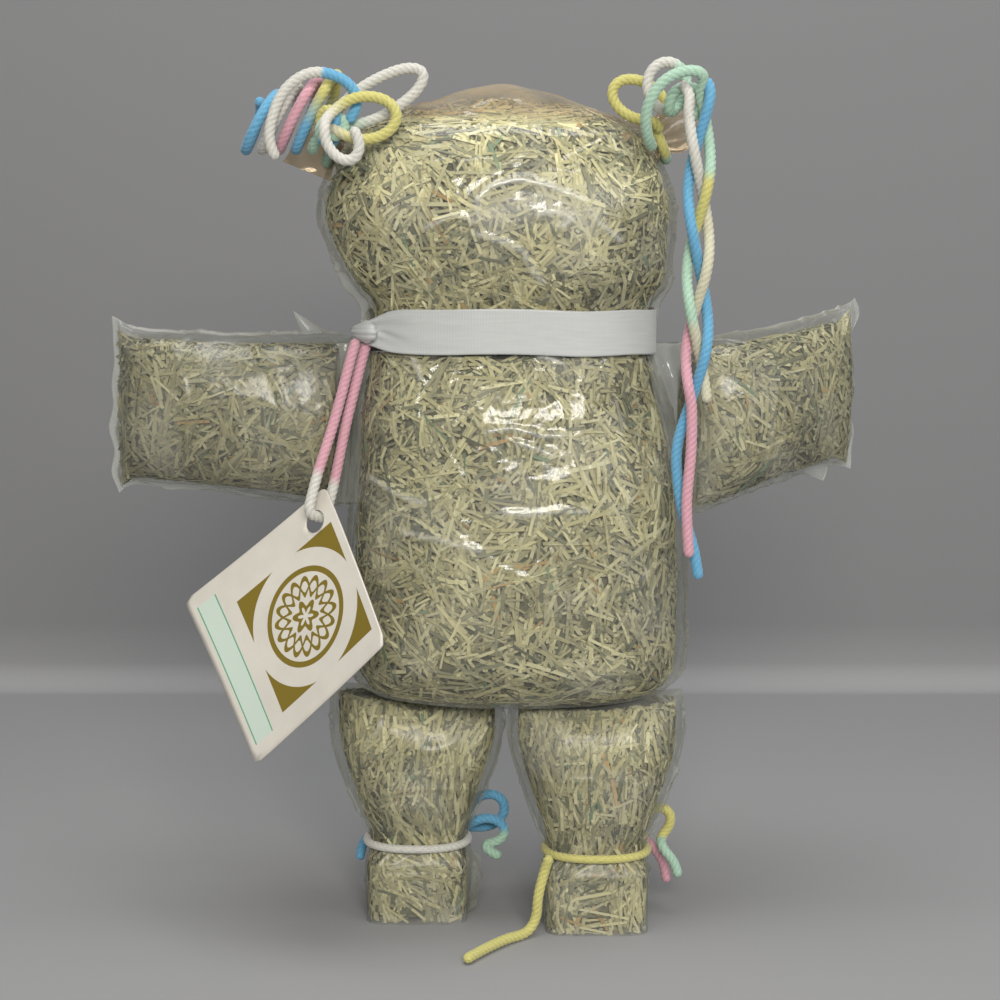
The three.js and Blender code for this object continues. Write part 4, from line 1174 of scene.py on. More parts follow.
@dataclass
class Pouch:
    """A clear film pouch packed with paper strips.

    Attributes:
        fill: Stations between which the strips lie.
        margin: Clear film at the low and the high side seam.
        grain: Share of the strips that lie the way of their neighbours.
        lie: The mean heading of those strips, in radians.
        sway: How far that heading wanders.
        painted_light_level: How light the strips are; painted light and shade, set per pouch for how much light falls
            on it.
        fin: How far the side seams stand out.
        dull: How dull the film is, from 0 to 1.
        ragged: How uneven the far end's edge is.
        packed: Station past which the strips fill the film up to its seams.
        frayed: How unevenly the strips end at the fill's ends.
        domed: Whether the stuffing rounds off under its far end.
        sole: How many strips lie flat over the far end.
        bend: Where the pouch bends at a joint.
        amber: Yellowing along the pouch.
        seals: Stations of the heat seals.
    """

    name: str
    form: PouchForm
    body: Body
    strips: int
    seed: int
    fill: tuple[float, float]
    pleats: tuple[Pleats, ...] = ()
    flares: tuple[Flare, ...] = ()
    folds: tuple[Fold, ...] = ()
    margin: tuple[float, float] = (1.0, 1.0)
    grain: float = 0.5
    lie: float = 0.0
    sway: float = 2.4
    painted_light_level: float = 1.0
    fin: float = 1.2
    dull: float = 0.0
    ragged: float = 0.0
    packed: float = 1000.0
    frayed: float = 2.2
    domed: bool = False
    sole: int = 0
    bend: Bend | None = None
    amber: SizeRun = lambda z: np.zeros_like(z)
    seals: tuple[float, ...] = ()
    rows: int = 150
    columns: int = 240

    def build(self, finishes: Finishes) -> None:
        """Make the stuffing and the film over it."""
        self.stuffing(finishes)
        self.film(finishes)

    def noise(self, draw: Draw, points: Array, length: float, count: int) -> Array:
        """One of the pouch's random fields, a sum of so many waves of about one length."""
        return waves(points, length, count, self.seed + draw)

    def tight(self, z: Array) -> Array:
        """1 where the strips fill the film up to its seams, and 0 before that."""
        return ease(z, self.packed - 4, self.packed)

    def film(self, finishes: Finishes) -> None:
        """The film: the pouch's skin with side fins, wrinkles and the pleats of its ties.

        Each side seam stands out as a thin fin, fin*exp(-(t/0.055)^2) for the angle t from the seam, and a flare adds a
        pointed stretch to it. The ends close to their own middle lines.

        Args:
            finishes: The shared materials.
        """
        form = self.form
        even = circle(self.columns)
        turn = (even - 0.3 * np.sin(2 * even))[None, :]
        share = np.linspace(0, 1, self.rows)[:, None]
        z = form.length * (share - 0.1 * np.sin(2 * math.pi * share)) + 0 * turn
        turn = turn + 0 * z
        base = form.skin(turn, z, 0.0)
        seam = np.minimum(*(np.abs(np.angle(np.exp(1j * (turn - side)))) for side in (0.0, math.pi)))
        rim = np.exp(-(seam / FIN_ANGLE) ** 2)
        ends = ease(z, 0.0, END_LENGTH) * ease(form.length - z, 0.0, END_LENGTH)
        lift = self.wrinkles(base, seam) * ends
        # whiteness of the folds: milky stress whitening with a painted highlight of their glare
        whitening_and_glare = np.zeros_like(z)
        for fold in self.folds:
            rise = fold.rise(base)
            lift = lift + rise
            share = rise / fold.tall
            whitening_and_glare = np.maximum(whitening_and_glare, fold.whitening_and_glare * (0.7 * share ** 5 + 0.3 * share))
        for tie in self.pleats:
            drift = 0.5 * self.noise(Draw.DRIFT, base, 30.0, 4)
            lift = lift + tie.tall * tie.near(z, tie.reach) * np.sin(tie.count * turn + drift * 3)
        fin = self.fin * (0.9 + 0.12 * self.noise(Draw.FIN, base, 60.0, 5)) * ends * (1 - 0.7 * self.tight(z))
        slip = self.ragged * self.noise(Draw.SLIP, base * np.array([1.0, 0.0, 1.0]), 13.0, 5) * ease(
            z, form.length - 7, form.length)
        for flare in self.flares:
            rise = flare.rise(turn, z)
            fin = fin + rise
            slip = slip + rim * rise * flare.lean / flare.out
        side = np.sign(np.cos(turn))[..., None] * form.across
        points = (base + form.normals(turn, z) * lift[..., None] + side * (rim * fin)[..., None]
                  + form.along * slip[..., None])
        points = np.concatenate([self.closed_end(points[:1]), points, self.closed_end(points[-1:])])
        tint = self.film_tint(base, z, seam, rim, whitening_and_glare)
        tint = np.concatenate([tint[:1], tint, tint[-1:]])
        piece = put_mesh(f"{self.name}_pouch", points, grid_faces(len(points), self.columns, False, True), tint)
        dress(piece, finishes.film, Slot.FILM, self.body, f"{self.name}_film", bend=self.bend)

    def wrinkles(self, base: Array, seam: Array) -> Array:
        """The film's own relief: creases on the zero lines of two random fields, dents, and puckers from the seams.

        Args:
            base: Points of the smooth skin.
            seam: Angle from the nearer side seam.

        Returns:
            How far each point is lifted, in mm.
        """
        crease = sum(tall * np.exp(-(self.noise(draw, base, length, 7) / sharp) ** 2)
                     for draw, length, tall, sharp in CREASES)
        dents = 0.3 * self.noise(Draw.DENT, base, 26.0, 6)
        pucker = 0.14 * np.exp(-(seam / 0.4)) * self.noise(Draw.PUCKER, base * np.array([1.0, 0.05, 1.0]), 9.0, 5)
        return crease + dents + pucker

    def film_tint(self, base: Array, z: Array, seam: Array, rim: Array, whitening_and_glare: Array) -> Array:
        """The film's yellowing, haze and dullness; it is hazy along its seams, seals and folds, and the narrow hazy
        line on each fin and the folds' whiteness are partly painted highlight.

        Args:
            base: Points of the smooth skin.
            z: Their stations.
            seam: Angle from the nearer side seam.
            rim: How far each point lies on a fin, from 0 to 1.
            whitening_and_glare: Whiteness of the folds, partly milky film and partly painted highlight.

        Returns:
            Four numbers for each point.
        """
        milky = np.clip(self.noise(Draw.MILK, base, 22.0, 6), 0.0, 1.5)
        aged = self.amber(z) * np.clip(0.75 + 0.35 * self.noise(Draw.AGED, base, 12.0, 6), 0.3, 1.2)
        # the rim's haze and the narrow line on each fin are partly seal haze and partly a painted highlight along the
        # film's edge
        haze = 0.055 + 0.05 * milky + 0.05 * rim + 0.22 * np.exp(-(seam / SEAL_ANGLE) ** 2) + 0.38 * aged + whitening_and_glare
        for station in self.seals:
            haze = haze + 0.09 * np.exp(-((z - station) / 2.5) ** 2)
        return np.stack([np.clip(aged, 0, 1), np.clip(haze, 0, 0.8), np.full_like(z, self.dull), np.ones_like(z)],
                        axis=-1)

    def closed_end(self, ring: Array) -> Array:
        """A ring drawn in to the end's middle line, each point halfway to its fellow on the other face."""
        return np.round((ring + np.roll(ring[:, ::-1], 1, axis=1)) / 2, 4)

    def under(self, turn: Array, z: Array, inset: Array | float) -> Array:
        """Points of the stuffing at a depth under the skin, clear of the side seams but where a tie presses it out."""
        tied = np.zeros_like(z)
        for tie in self.pleats:
            tied = np.maximum(tied, tie.near(z, 7.0))
        clear = (1 - tied) * (1 - 0.85 * self.tight(z))
        low, high = self.margin
        thinned = ease(z, self.fill[1] - 9, self.fill[1]) ** 2 if self.domed else 0.0
        return self.form.skin(turn, z, inset, (low * clear, high * clear), thinned)

    def stuffing(self, finishes: Finishes) -> None:
        """The strips: thousands of thin cut strips that lie against the film in every direction, over a core painted
        dark as the shade between them.

        Args:
            finishes: The shared materials.
        """
        rng = np.random.default_rng(self.seed)
        line, out, wide, colours = self.film_strips(rng)
        if self.sole:
            flat = self.sole_lines(rng)
            line = np.concatenate([line, flat])
            out = np.concatenate([out, np.broadcast_to(self.form.along, flat.shape)])
            wide = np.concatenate([wide, rng.uniform(*STRIP_WIDTHS, self.sole)])
            colours = np.concatenate([colours, self.strip_colours(np.zeros(self.sole), rng)])
        count, rings = line.shape[:2]
        corners = self.strip_corners(line, out, wide, rng)
        sides = grid_faces(rings, 4, False, True).ravel()
        caps = np.array([3, 2, 1, 0, *(4 * (rings - 1) + np.arange(4))])
        faces = ((np.arange(count) * rings * 4)[:, None] + np.concatenate([sides, caps])).reshape(-1, 4)
        core = self.core()
        faces = np.vstack([faces, grid_faces(*core.shape[:2], False, True) + corners.size // 3])
        points = np.vstack([corners.reshape(-1, 3), core.reshape(-1, 3)])
        tint = np.vstack([np.repeat(colours, rings * 4, axis=0), np.tile(linear(CORE_SHADE_COLOUR), (core.size // 3, 1))])
        piece = put_mesh(f"{self.name}_stuffing", points, faces, tint, merge=False)
        piece.data.polygons.foreach_set("use_smooth", np.zeros(len(faces), dtype=bool))
        dress(piece, finishes.shreds, Slot.SHREDS, self.body, f"{self.name}_shreds", bend=self.bend)

    def film_strips(self, rng: np.random.Generator) -> tuple[Array, Array, Array, Array]:
        """The strips that lie against the film.

        A strip starts at a random place, chosen evenly by area, and runs straight along the skin. A share of the
        strips, the grain, lies the way of its neighbours, which is a smooth random field; the rest head anywhere.
        Another field makes patches of short dark bits. A strip's depth changes evenly along it, so that strips cross
        over and under.

        Args:
            rng: The random source.

        Returns:
            Points along each strip, the ways out of the film there, and each strip's width and colour.
        """
        form = self.form
        count = self.strips
        turn, z = self.scatter(count, rng)
        ground = self.under(turn, z, STRIP_DEPTH)
        patch = self.noise(Draw.PATCH, ground, 24.0, 6)
        kind = rng.random(count) + 0.2 * patch
        longs, mids, bits = (rng.uniform(low, high, count) for low, high in ((7, 16), (3.5, 7), (1.2, 2.8)))
        long = np.where(kind < 0.5, longs, np.where(kind < 0.82, mids, bits))
        wide = rng.uniform(*STRIP_WIDTHS, count)
        depth = 0.5 + 2.3 * rng.random(count) ** 1.25
        laid = self.lie + self.sway * self.noise(Draw.LIE, ground, 36.0, 5) + rng.normal(0, 0.3, count)
        heading = np.where(rng.random(count) < self.grain, laid, rng.uniform(0, 2 * math.pi, count))
        tilt = np.clip(rng.normal(0, 0.1, count), -0.22, 0.22) * np.minimum(1.0, 10 / long)
        here = self.under(turn, z, depth)
        by_turn = (self.under(turn + SMALL, z, depth) - here) / SMALL
        by_z = (self.under(turn, np.clip(z + SMALL, 0, form.length), depth) - here) / SMALL
        size = np.linalg.norm(by_turn, axis=-1)
        first = by_turn / np.maximum(size, 1e-6)[:, None]
        slide = (by_z * first).sum(axis=-1)
        second = np.linalg.norm(by_z - slide[:, None] * first, axis=-1)
        z_rate = np.sin(heading) / np.maximum(second, 0.3)
        turn_rate = (np.cos(heading) - z_rate * slide) / np.maximum(size, 4.0)
        s = np.linspace(-0.5, 0.5, STRIP_PARTS + 1)[None, :] * long[:, None]
        bow = rng.normal(0, 0.35, count)[:, None] * ((2 * s / long[:, None]) ** 2 - 0.4)
        short = (self.frayed * rng.random((count, 2)) ** 2)[..., None]
        at_z = np.clip(z[:, None] + z_rate[:, None] * s, self.fill[0] + short[:, 0], self.fill[1] - short[:, 1])
        at_turn = turn[:, None] + turn_rate[:, None] * s
        at_depth = np.maximum(depth[:, None] + tilt[:, None] * s + bow, 0.45)
        line, out = self.under(at_turn, at_z, at_depth), form.normals(at_turn, at_z)
        return line, out, wide, self.strip_colours(patch, rng)

    def sole_lines(self, rng: np.random.Generator) -> Array:
        """Middle lines of the strips that lie flat over a sole, spread evenly over it and turned any way."""
        z = self.fill[1] - rng.uniform(0.1, 1.6, self.sole)
        edge = self.under(rng.uniform(0, 2 * math.pi, self.sole), z, 1.0)
        middle = self.form.place(self.form.lean(z), np.zeros_like(z), z)
        place = middle + (edge - middle) * 0.78 * np.sqrt(rng.random(self.sole))[:, None]
        angle = rng.uniform(0, math.pi, self.sole)[:, None]
        way = self.form.across * np.cos(angle) + self.form.deep * np.sin(angle)
        reach = np.linspace(-0.5, 0.5, STRIP_PARTS + 1) * rng.uniform(3, 6, (self.sole, 1))
        return place[:, None, :] + way[:, None, :] * reach[..., None]

    def strip_corners(self, line: Array, out: Array, wide: Array, rng: np.random.Generator) -> Array:
        """The four corners of each strip's section along its line, rolled a little about it.

        Args:
            line: Points along each strip.
            out: The way out of the film at each point.
            wide: Width of each strip.
            rng: The random source.

        Returns:
            Corners by strip, point and corner.
        """
        way = unit(np.gradient(line, axis=1))
        side = unit(np.cross(out, way))
        face = np.cross(way, side)
        roll = np.clip(rng.normal(0, 0.28, len(line)), -0.6, 0.6)[:, None, None]
        side, face = side * np.cos(roll) + face * np.sin(roll), face * np.cos(roll) - side * np.sin(roll)
        half = side * (wide / 2)[:, None, None]
        thick = face * STRIP_HALF_THICK
        return np.stack([line + half + thick, line - half + thick, line - half - thick, line + half - thick], axis=2)

    def scatter(self, count: int, rng: np.random.Generator) -> tuple[Array, Array]:
        """Places on the pouch chosen evenly by area.

        Args:
            count: How many places.
            rng: The random source.

        Returns:
            The angle and the station of each.
        """
        low, high = self.fill
        turns, stations = 48, 40
        turn = (np.arange(turns)[None, :] + 0.5) * 2 * math.pi / turns
        z = low + (np.arange(stations)[:, None] + 0.5) * (high - low) / stations
        turn, z = np.broadcast_arrays(turn, z)
        here = self.under(turn, z, STRIP_DEPTH)
        by_turn = self.under(turn + SMALL, z, STRIP_DEPTH) - here
        by_z = self.under(turn, z + SMALL, STRIP_DEPTH) - here
        area = np.linalg.norm(np.cross(by_turn, by_z), axis=-1).ravel() + 1e-6
        cell = rng.choice(area.size, size=count, p=area / area.sum())
        turn_at = turn.ravel()[cell] + rng.uniform(-0.5, 0.5, count) * 2 * math.pi / turns
        z_at = z.ravel()[cell] + rng.uniform(-0.5, 0.5, count) * (high - low) / stations
        return turn_at, z_at

    def strip_colours(self, patch: Array, rng: np.random.Generator) -> Array:
        """A colour for each strip: mostly cream paper, some printed grey-green, a few green, dark or tan.

        Args:
            patch: The field of the dark patches at each strip.
            rng: The random source.

        Returns:
            Linear red, green and blue, and the share of ink, for each strip.
        """
        count = len(patch)
        hues = np.array([linear(paper) for paper in PAPERS])
        odds = np.array(list(PAPERS.values()))
        pick = rng.choice(len(odds), size=count, p=odds / odds.sum())
        tint = hues[pick] * rng.uniform(0.86, 1.12, (count, 1)) * (1.04 - 0.16 * np.clip(patch, 0, 1.5))[:, None]
        # painted light and shade: each pouch's strips are lightened or darkened for how much light falls on that pouch
        tint[:, :3] *= np.array([1.0, 0.995, 0.95]) * self.painted_light_level
        tint[:, 3] = np.where(rng.random(count) < 0.4, rng.uniform(0.3, 1.0, count), 0.0)
        return tint

    def core(self) -> Array:
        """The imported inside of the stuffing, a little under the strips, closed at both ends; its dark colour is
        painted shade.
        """
        z = np.linspace(self.fill[0] + 1.2, self.fill[1] - 1.2, 40)[:, None] + np.zeros((1, 64))
        turn = circle(64)[None, :] + 0 * z
        body = self.under(turn, z, CORE_DEPTH)
        body = body + self.form.normals(turn, z) * (0.4 * self.noise(Draw.CORE, body, 8.0, 6))[..., None]
        first, last = (np.broadcast_to(end.mean(axis=1, keepdims=True), end.shape) for end in (body[:1], body[-1:]))
        return np.concatenate([first, body, last])


TRUNK_FOLDS = (
    Fold(((-5.1, 142.3), (1.2, 143.3), (8.6, 141.2), (14.9, 141.2))),
    Fold(((2.3, 139.6), (8.6, 137.5), (11.7, 136.0))),
    Fold(((-0.9, 121.1), (5.5, 120.6), (15.0, 121.6), (20.2, 121.1)), 0.5),
    Fold(((-28.4, 115.2), (-17.8, 113.6), (-7.2, 111.0)), 0.5),
    Fold(((-36.7, 129.1), (-28.3, 124.8), (-22.0, 123.2)), 0.6),
    Fold(((-24.9, 160.6), (-22.9, 155.4))),
    Fold(((8.5, 161.7), (14.8, 159.6))),
)
HEAD_FOLDS = (
    Fold(((-8.4, 197.0), (-7.9, 202.4), (-4.3, 206.0), (3.0, 207.5), (10.2, 206.0), (20.0, 202.4)), 0.9, 1.2, 0.45),
    Fold(((-7.9, 194.0), (-0.6, 191.7), (4.3, 189.4), (6.6, 184.5), (9.2, 181.4)), 0.9, 1.1, 0.36),
    Fold(((7.9, 198.8), (12.8, 199.4), (16.4, 197.6), (13.9, 195.8)), 0.8, 1.4, 0.5),
    Fold(((20.0, 201.1), (23.7, 196.5), (29.7, 192.2)), 0.7, 1.1, 0.36),
    Fold(((-21.1, 195.3), (-13.8, 198.8), (-8.4, 197.0))),
    # almost flat and wide: no real fold, only a painted glare patch of haze over the forehead
    Fold(((-3.0, 199.0), (8.0, 201.5), (20.0, 197.0)), 0.06, 8.5, 0.24),
)


def rounded(z: Array, radius: float) -> Array:
    """The half depth of a half circle that starts at station 0."""
    return np.sqrt(np.maximum(radius ** 2 - (radius - np.minimum(z, radius)) ** 2, 0))


@dataclass
class Pouches:
    """The six pouches and their forms."""

    neck_height: float = 163.0
    trunk_length: float = 97.0
    head_base: float = 163.3
    head_length: float = 69.0
    trunk_x: float = 2.8
    head_x: float = -2.8
    neck_x: float = 1.0
    arm_round: float = 14.0
    leg_round: float = 15.0
    leg_length: float = 65.7
    ankle: float = 43.7
    left_shoulder: Array = fixed(-56.3649, 0.0, 144.0)
    right_shoulder: Array = fixed(60.9856, 0.0, 144.0)
    left_way: Array = fixed(-1.0, 0.0, 0.0)
    right_way: Array = fixed(0.89879, 0.43837, 0.0)

    def trunk(self) -> Pouch:
        """The trunk, from the neck down to the hem."""
        form = PouchForm(
            np.array([self.trunk_x, 0.0, self.neck_height]), np.array([1.0, 0, 0]), np.array([0, 0, -1.0]),
            self.trunk_length,
            Profile((0, 21.34, 65.96, 87.3, 93.605, 97), (38.5, 44, 47, 46.53, 43.9, 40)),
            Profile((0, 19.4, 58.2, 85.36, 93, 97), (18.5, 25.5, 28, 25.6, 20, 13)),
            lean=lambda z: (self.neck_x - self.trunk_x) * (1 - ease(z, 12, 36)), bow=lambda z: 1.2 * ease(z, 88, 97))
        return Pouch("torso", form, Body.TORSO, strips=9600, seed=11, fill=(1.0, 95.8),
                     pleats=(Pleats(0.0, 30, 0.4, 12.0),), folds=TRUNK_FOLDS, margin=(1.4, 2.0), painted_light_level=0.85,
                     seals=(self.trunk_length,), rows=200, columns=400)

    def head(self) -> Pouch:
        """The head, from the neck up to the crown's seal, yellowed along the seal."""
        form = PouchForm(
            np.array([self.head_x, 0.0, self.head_base]), np.array([1.0, 0, 0]), np.array([0, 0, 1.0]),
            self.head_length,
            Profile((0, 12, 17.5, 24, 37.26, 55.2, 64.17, 69), (37.5, 38.8, 42.8, 45.5, 48, 41.28, 28.8, 13)),
            Profile((0, 12, 17.5, 24, 38.64, 55.2, 64.17, 69), (14.5, 18, 21.5, 24.5, 28, 23.52, 12.32, 0.8)),
            lean=lambda z: (self.neck_x - self.head_x) * (1 - ease(z, 12, 36)), bow=lambda z: 2.4 * ease(z, 58, 69))
        return Pouch("head", form, Body.HEAD, strips=7400, seed=23, fill=(1.0, 65.6),
                     pleats=(Pleats(2.0, 30, 0.4, 9.0),), folds=HEAD_FOLDS,
                     flares=(Flare(-1.0, 16.0, 13.0, 2.8), Flare(1.0, 14.0, 9.0, 1.4)), margin=(1.0, 0.6), painted_light_level=1.09,
                     ragged=0.7, domed=True, amber=lambda z: 0.75 * ease(z, 59, 67), seals=(self.head_length,),
                     bend=Bend(Body.TORSO, (self.neck_x, 0.0, 171.0), (self.neck_x, 0.0, 187.0)),
                     rows=180, columns=400)

    def arm(self, name: str, body: Body, pivot: Array, out: Array, length: float, slope: float, seed: int,
            flare: Flare, painted_light_level: float, root: float) -> Pouch:
        """An arm: a pillow with a rounded root and a flat sealed end whose corners stand out.

        The sleeve climbs by its slope on the way out, and its root slants with the trunk's side below its middle.

        Args:
            name: The arm's name.
            body: Its body.
            pivot: Middle of its root, in the doll's frame.
            out: Unit direction along the arm.
            length: From root to sealed end.
            slope: Climb for each mm outwards.
            seed: Seed of its strips and creases.
            flare: Where its fin stands out.
            painted_light_level: How light its strips are; painted shade for the little light that falls on the arm.
            root: Station at which its stuffing starts.

        Returns:
            The arm's pouch.
        """
        def depth(z: Array) -> Array:
            """A half circle at the root, then a pillow that thins to the seal."""
            share = np.clip((z - self.arm_round) / (length - self.arm_round - 1.6), 0, 1)
            return np.where(z < self.arm_round, rounded(z, self.arm_round), 0.4 + 13.6 * (1 - share ** 3.6) ** 0.55)

        form = PouchForm(pivot - out * self.arm_round, np.array([0, 0, 1.0]), out, length,
                         Profile((0, 0.7 * length, length - 6, length), (23.5, 21, 21, 24.5)), depth,
                         lean=lambda z: slope * (z - self.arm_round),
                         slant=lambda z: -0.09 * (1 - ease(z, 0, 2 * self.arm_round)))
        return Pouch(name, form, body, strips=3700, seed=seed, fill=(root, length - 1.0), flares=(flare,),
                     margin=(0.6, 1.5), painted_light_level=painted_light_level, dull=0.55, ragged=0.9, seals=(0.0, length),
                     bend=self.sleeve(pivot, out))

    def sleeve(self, pivot: Array, out: Array) -> Bend:
        """Where an arm and its film bend at the shoulder, from close to the trunk's side to just past the pivot."""
        return Bend(Body.TORSO, tuple(pivot - out * 11.0), tuple(pivot + out * 2.0))

    def leg(self, name: str, body: Body, x: float, y: float, hand: float, seed: int,
            flares: tuple[Flare, ...] = ()) -> Pouch:
        """A leg, from its rounded hip, higher on its outer side, past the tied ankle to the flat sole.

        Args:
            name: The leg's name.
            body: Its body.
            x: Where it stands, to the right.
            y: Where it stands, to the back.
            hand: -1 on the left and 1 on the right.
            seed: Seed of its strips and creases.
            flares: Where its fins stand out.

        Returns:
            The leg's pouch.
        """
        below = Profile((self.leg_round, 30.59, self.ankle, 49.3, self.leg_length), (15, 12.6, 9.4, 11, 11))

        def depth(z: Array) -> Array:
            """A half circle at the hip, then the leg's own run of sizes."""
            return np.where(z < self.leg_round, rounded(z, self.leg_round), below(z))

        form = PouchForm(np.array([x, y, self.leg_length]), np.array([-hand, 0, 0]), np.array([0, 0, -1.0]),
                         self.leg_length,
                         Profile((0, 9, 29.716, 38, self.ankle, 49.3, self.leg_length),
                                 (24, 24, 18.9, 15.6, 13.15, 14.75, 14.55)), depth,
                         power=lambda z: OVAL_POWER + (BOX_POWER - OVAL_POWER) * ease(z, self.ankle, 50.5),
                         slant=lambda z: 0.1 * (1 - ease(z, 0, 14)))
        return Pouch(name, form, body, strips=3600, seed=seed, fill=(2.4, 65.5),
                     pleats=(Pleats(self.ankle, 22, 0.35, 5.0),), flares=flares, margin=(1.3, 1.3), grain=0.75,
                     lie=math.pi / 2, sway=0.4, painted_light_level=0.86, dull=0.85, packed=50.0, frayed=0.7, sole=420,
                     seals=(0.0, self.leg_length), bend=Bend(Body.TORSO, (x, y, 64.5), (x, y, 47.0)))

    def build(self, finishes: Finishes) -> None:
        """Make all six pouches and the film between the trunk and the arms."""
        left, right = (self.left_shoulder, self.left_way), (self.right_shoulder, self.right_way)
        pouches = (
            self.trunk(),
            self.head(),
            self.arm("left_arm", Body.LEFT_ARM, *left, 66.0, 0.07, 37, Flare(1.0, 11.0, 3.4, 5.4, lean=5.5), 0.55, 4.2),
            self.arm("right_arm", Body.RIGHT_ARM, *right, 56.0, 0.2, 41, Flare(-1.0, 44.0, 4.5, 3.2, lean=3.0), 0.67,
                     1.0),
            self.leg("left_leg", Body.LEFT_LEG, -25.7, 7.0, -1.0, 53, (Flare(1.0, 56.5, 8.5, 2.5, 0.2),)),
            self.leg("right_leg", Body.RIGHT_LEG, 25.3, -2.0, 1.0, 59),
        )
        for pouch in pouches:
            pouch.build(finishes)
        self.web("left_shoulder_web", Body.LEFT_ARM, -1.0, *left, 81, finishes)
        self.web("right_shoulder_web", Body.RIGHT_ARM, 1.0, *right, 83, finishes)

    def web(self, name: str, arm: Body, hand: float, pivot: Array, out: Array, seed: int, finishes: Finishes) -> None:
        """The flat film between the trunk's side and an arm, two layers that meet at their top and bottom edges.

        Across it runs from inside the trunk's side to inside the arm's root, and folds run down it, each a sine across
        that dies away at both edges.

        Args:
            name: The piece's name.
            arm: The arm's body.
            hand: -1 on the left and 1 on the right.
            pivot: Middle of the arm's root.
            out: Unit direction along the arm.
            seed: Seed of its folds.
            finishes: The shared materials.
        """
        form = self.trunk().form
        rows, columns = 60, 33
        low, high = -24.0, 21.0
        rise = np.linspace(low, high, rows)[:, None]
        share = np.concatenate([np.linspace(0, 1, columns), np.linspace(1, 0, columns)])[None, :]
        front = np.concatenate([-np.ones(columns), np.ones(columns)])[None, :]
        z = pivot[2] + rise + 0 * share
        station = np.clip(self.neck_height - z, 0.0, self.trunk_length)
        side = self.trunk_x + form.lean(station) + hand * (form.half_width(station) - 1.5)
        root = pivot[0] - hand * (self.arm_round - 5.0)
        x = side + (root - side) * share
        ripple = np.sin(9 * share + 0.05 * rise)
        fold = np.sin(math.pi * share) * (0.8 * ripple + 0.5 * waves(np.stack([x, 0 * x, z], axis=-1), 11.0, 5, seed))
        ends = np.sqrt(np.clip(1 - ((2 * rise - low - high) / (high - low)) ** 2, 0.0, 1.0))
        y = fold + front * 0.3 * ends
        haze = 0.1 + 0.05 * np.abs(ripple)
        tint = np.stack([0 * haze, haze, 0 * haze, 1 + 0 * haze], axis=-1)
        piece = put_mesh(name, np.stack([x, y, z], axis=-1), grid_faces(rows, 2 * columns, False, True), tint)
        dress(piece, finishes.film, Slot.FILM, arm, bend=self.sleeve(pivot, out))


# ---------------------------------------------------------------------------------------------------------------
# Tied corners, ribbon and tag


@dataclass
class EarTabs:
    """The head's top corners, drawn together by yarn and spread again past the tie as small yellowed tabs."""

    waist: float = 8.4
    tab_width: float = 13.0
    tab_depth: float = 3.4
    root: float = 12.0
    length: float = 16.0
    neck: float = 5.4

    def build(self, finishes: Finishes) -> None:
        """Make both tabs."""
        self.tab("left_ear_film", np.array([-44.4, 0.0, 218.0]), -1.0, 24.0, 92.0, 71, finishes)
        self.tab("right_ear_film", np.array([38.5, 0.0, 219.0]), 1.0, 26.0, 0.0, 73, finishes)

    def tab(self, name: str, start: Array, hand: float, lean: float, droop: float, seed: int,
            finishes: Finishes) -> None:
        """Carry a pleated oval from inside the head, in to the waist and out to a flat tab.

        The half sizes run from the root to the waist and on to the tab, and the pleats, 11 round the oval, are deepest
        at the waist.

        Args:
            name: The piece's name.
            start: Where the corner leaves the head.
            hand: -1 on the left and 1 on the right.
            lean: Angle of the corner above level, in degrees.
            droop: How far the tab turns down past the tie, in degrees.
            seed: Seed of its creases.
            finishes: The shared materials.
        """
        s = np.linspace(-7.0, self.length, 90)
        angle = np.radians(lean - droop * ease(s, self.neck * 0.7, self.neck + 3.5))
        step = np.gradient(s)
        line = np.stack([hand * np.cumsum(np.cos(angle) * step), 0 * s, np.cumsum(np.sin(angle) * step)], axis=-1)
        line = start + line - np.array([np.interp(0.0, s, line[:, k]) for k in range(3)])
        up = np.stack([-hand * np.sin(angle), 0 * s, np.cos(angle)], axis=-1)
        waist_at = self.neck * 0.42
        tall = Profile((-7, -2, waist_at, 7.5, self.length - 2, self.length),
                       (self.root, 7.2, self.waist / 2 - 0.2, 6.0, self.tab_width / 2, self.tab_width / 2 + 0.6))(s)
        deep = Profile((-7, -2, waist_at, 7.5, self.length - 2, self.length),
                       (9.0, 6.4, self.waist / 2 - 0.2, 3.2, self.tab_depth / 2, 0.3))(s)
        turn = circle(132)[None, :]
        fold = 1 + (0.2 * np.exp(-((s - waist_at) / 5.5) ** 2))[:, None] * np.sin(11 * turn)
        round_it = up[:, None, :] * (tall[:, None] * fold * np.cos(turn))[..., None]
        through = np.array([0.0, 1.0, 0.0]) * (deep[:, None] * fold * np.sin(turn))[..., None]
        points = line[:, None, :] + round_it + through
        crinkle = 0.55 * waves(points, 6.0, 6, seed) * ease(s, 3.0, 8.0)[:, None]
        points = points + np.array([0.0, 1.0, 0.0]) * (crinkle * np.sign(np.sin(turn)))[..., None]
        flat = line[-1:, None, :] + up[-1:, None, :] * (tall[-1] * np.cos(turn))[..., None]
        points = np.concatenate([points, np.round(flat, 4)])
        amber = np.append(0.25 + 0.2 * ease(s, 1.0, 6.0), 0.55)[:, None] + 0 * turn
        haze = np.append(0.1 + 0.1 * ease(s, 2.0, 8.0), 0.35)[:, None] + 0 * turn
        tint = np.stack([amber, haze, 0 * amber, 1 + 0 * amber], axis=-1)
        piece = put_mesh(name, points, grid_faces(len(points), turn.size, False, True), tint)
        dress(piece, finishes.film, Slot.FILM, Body.HEAD)


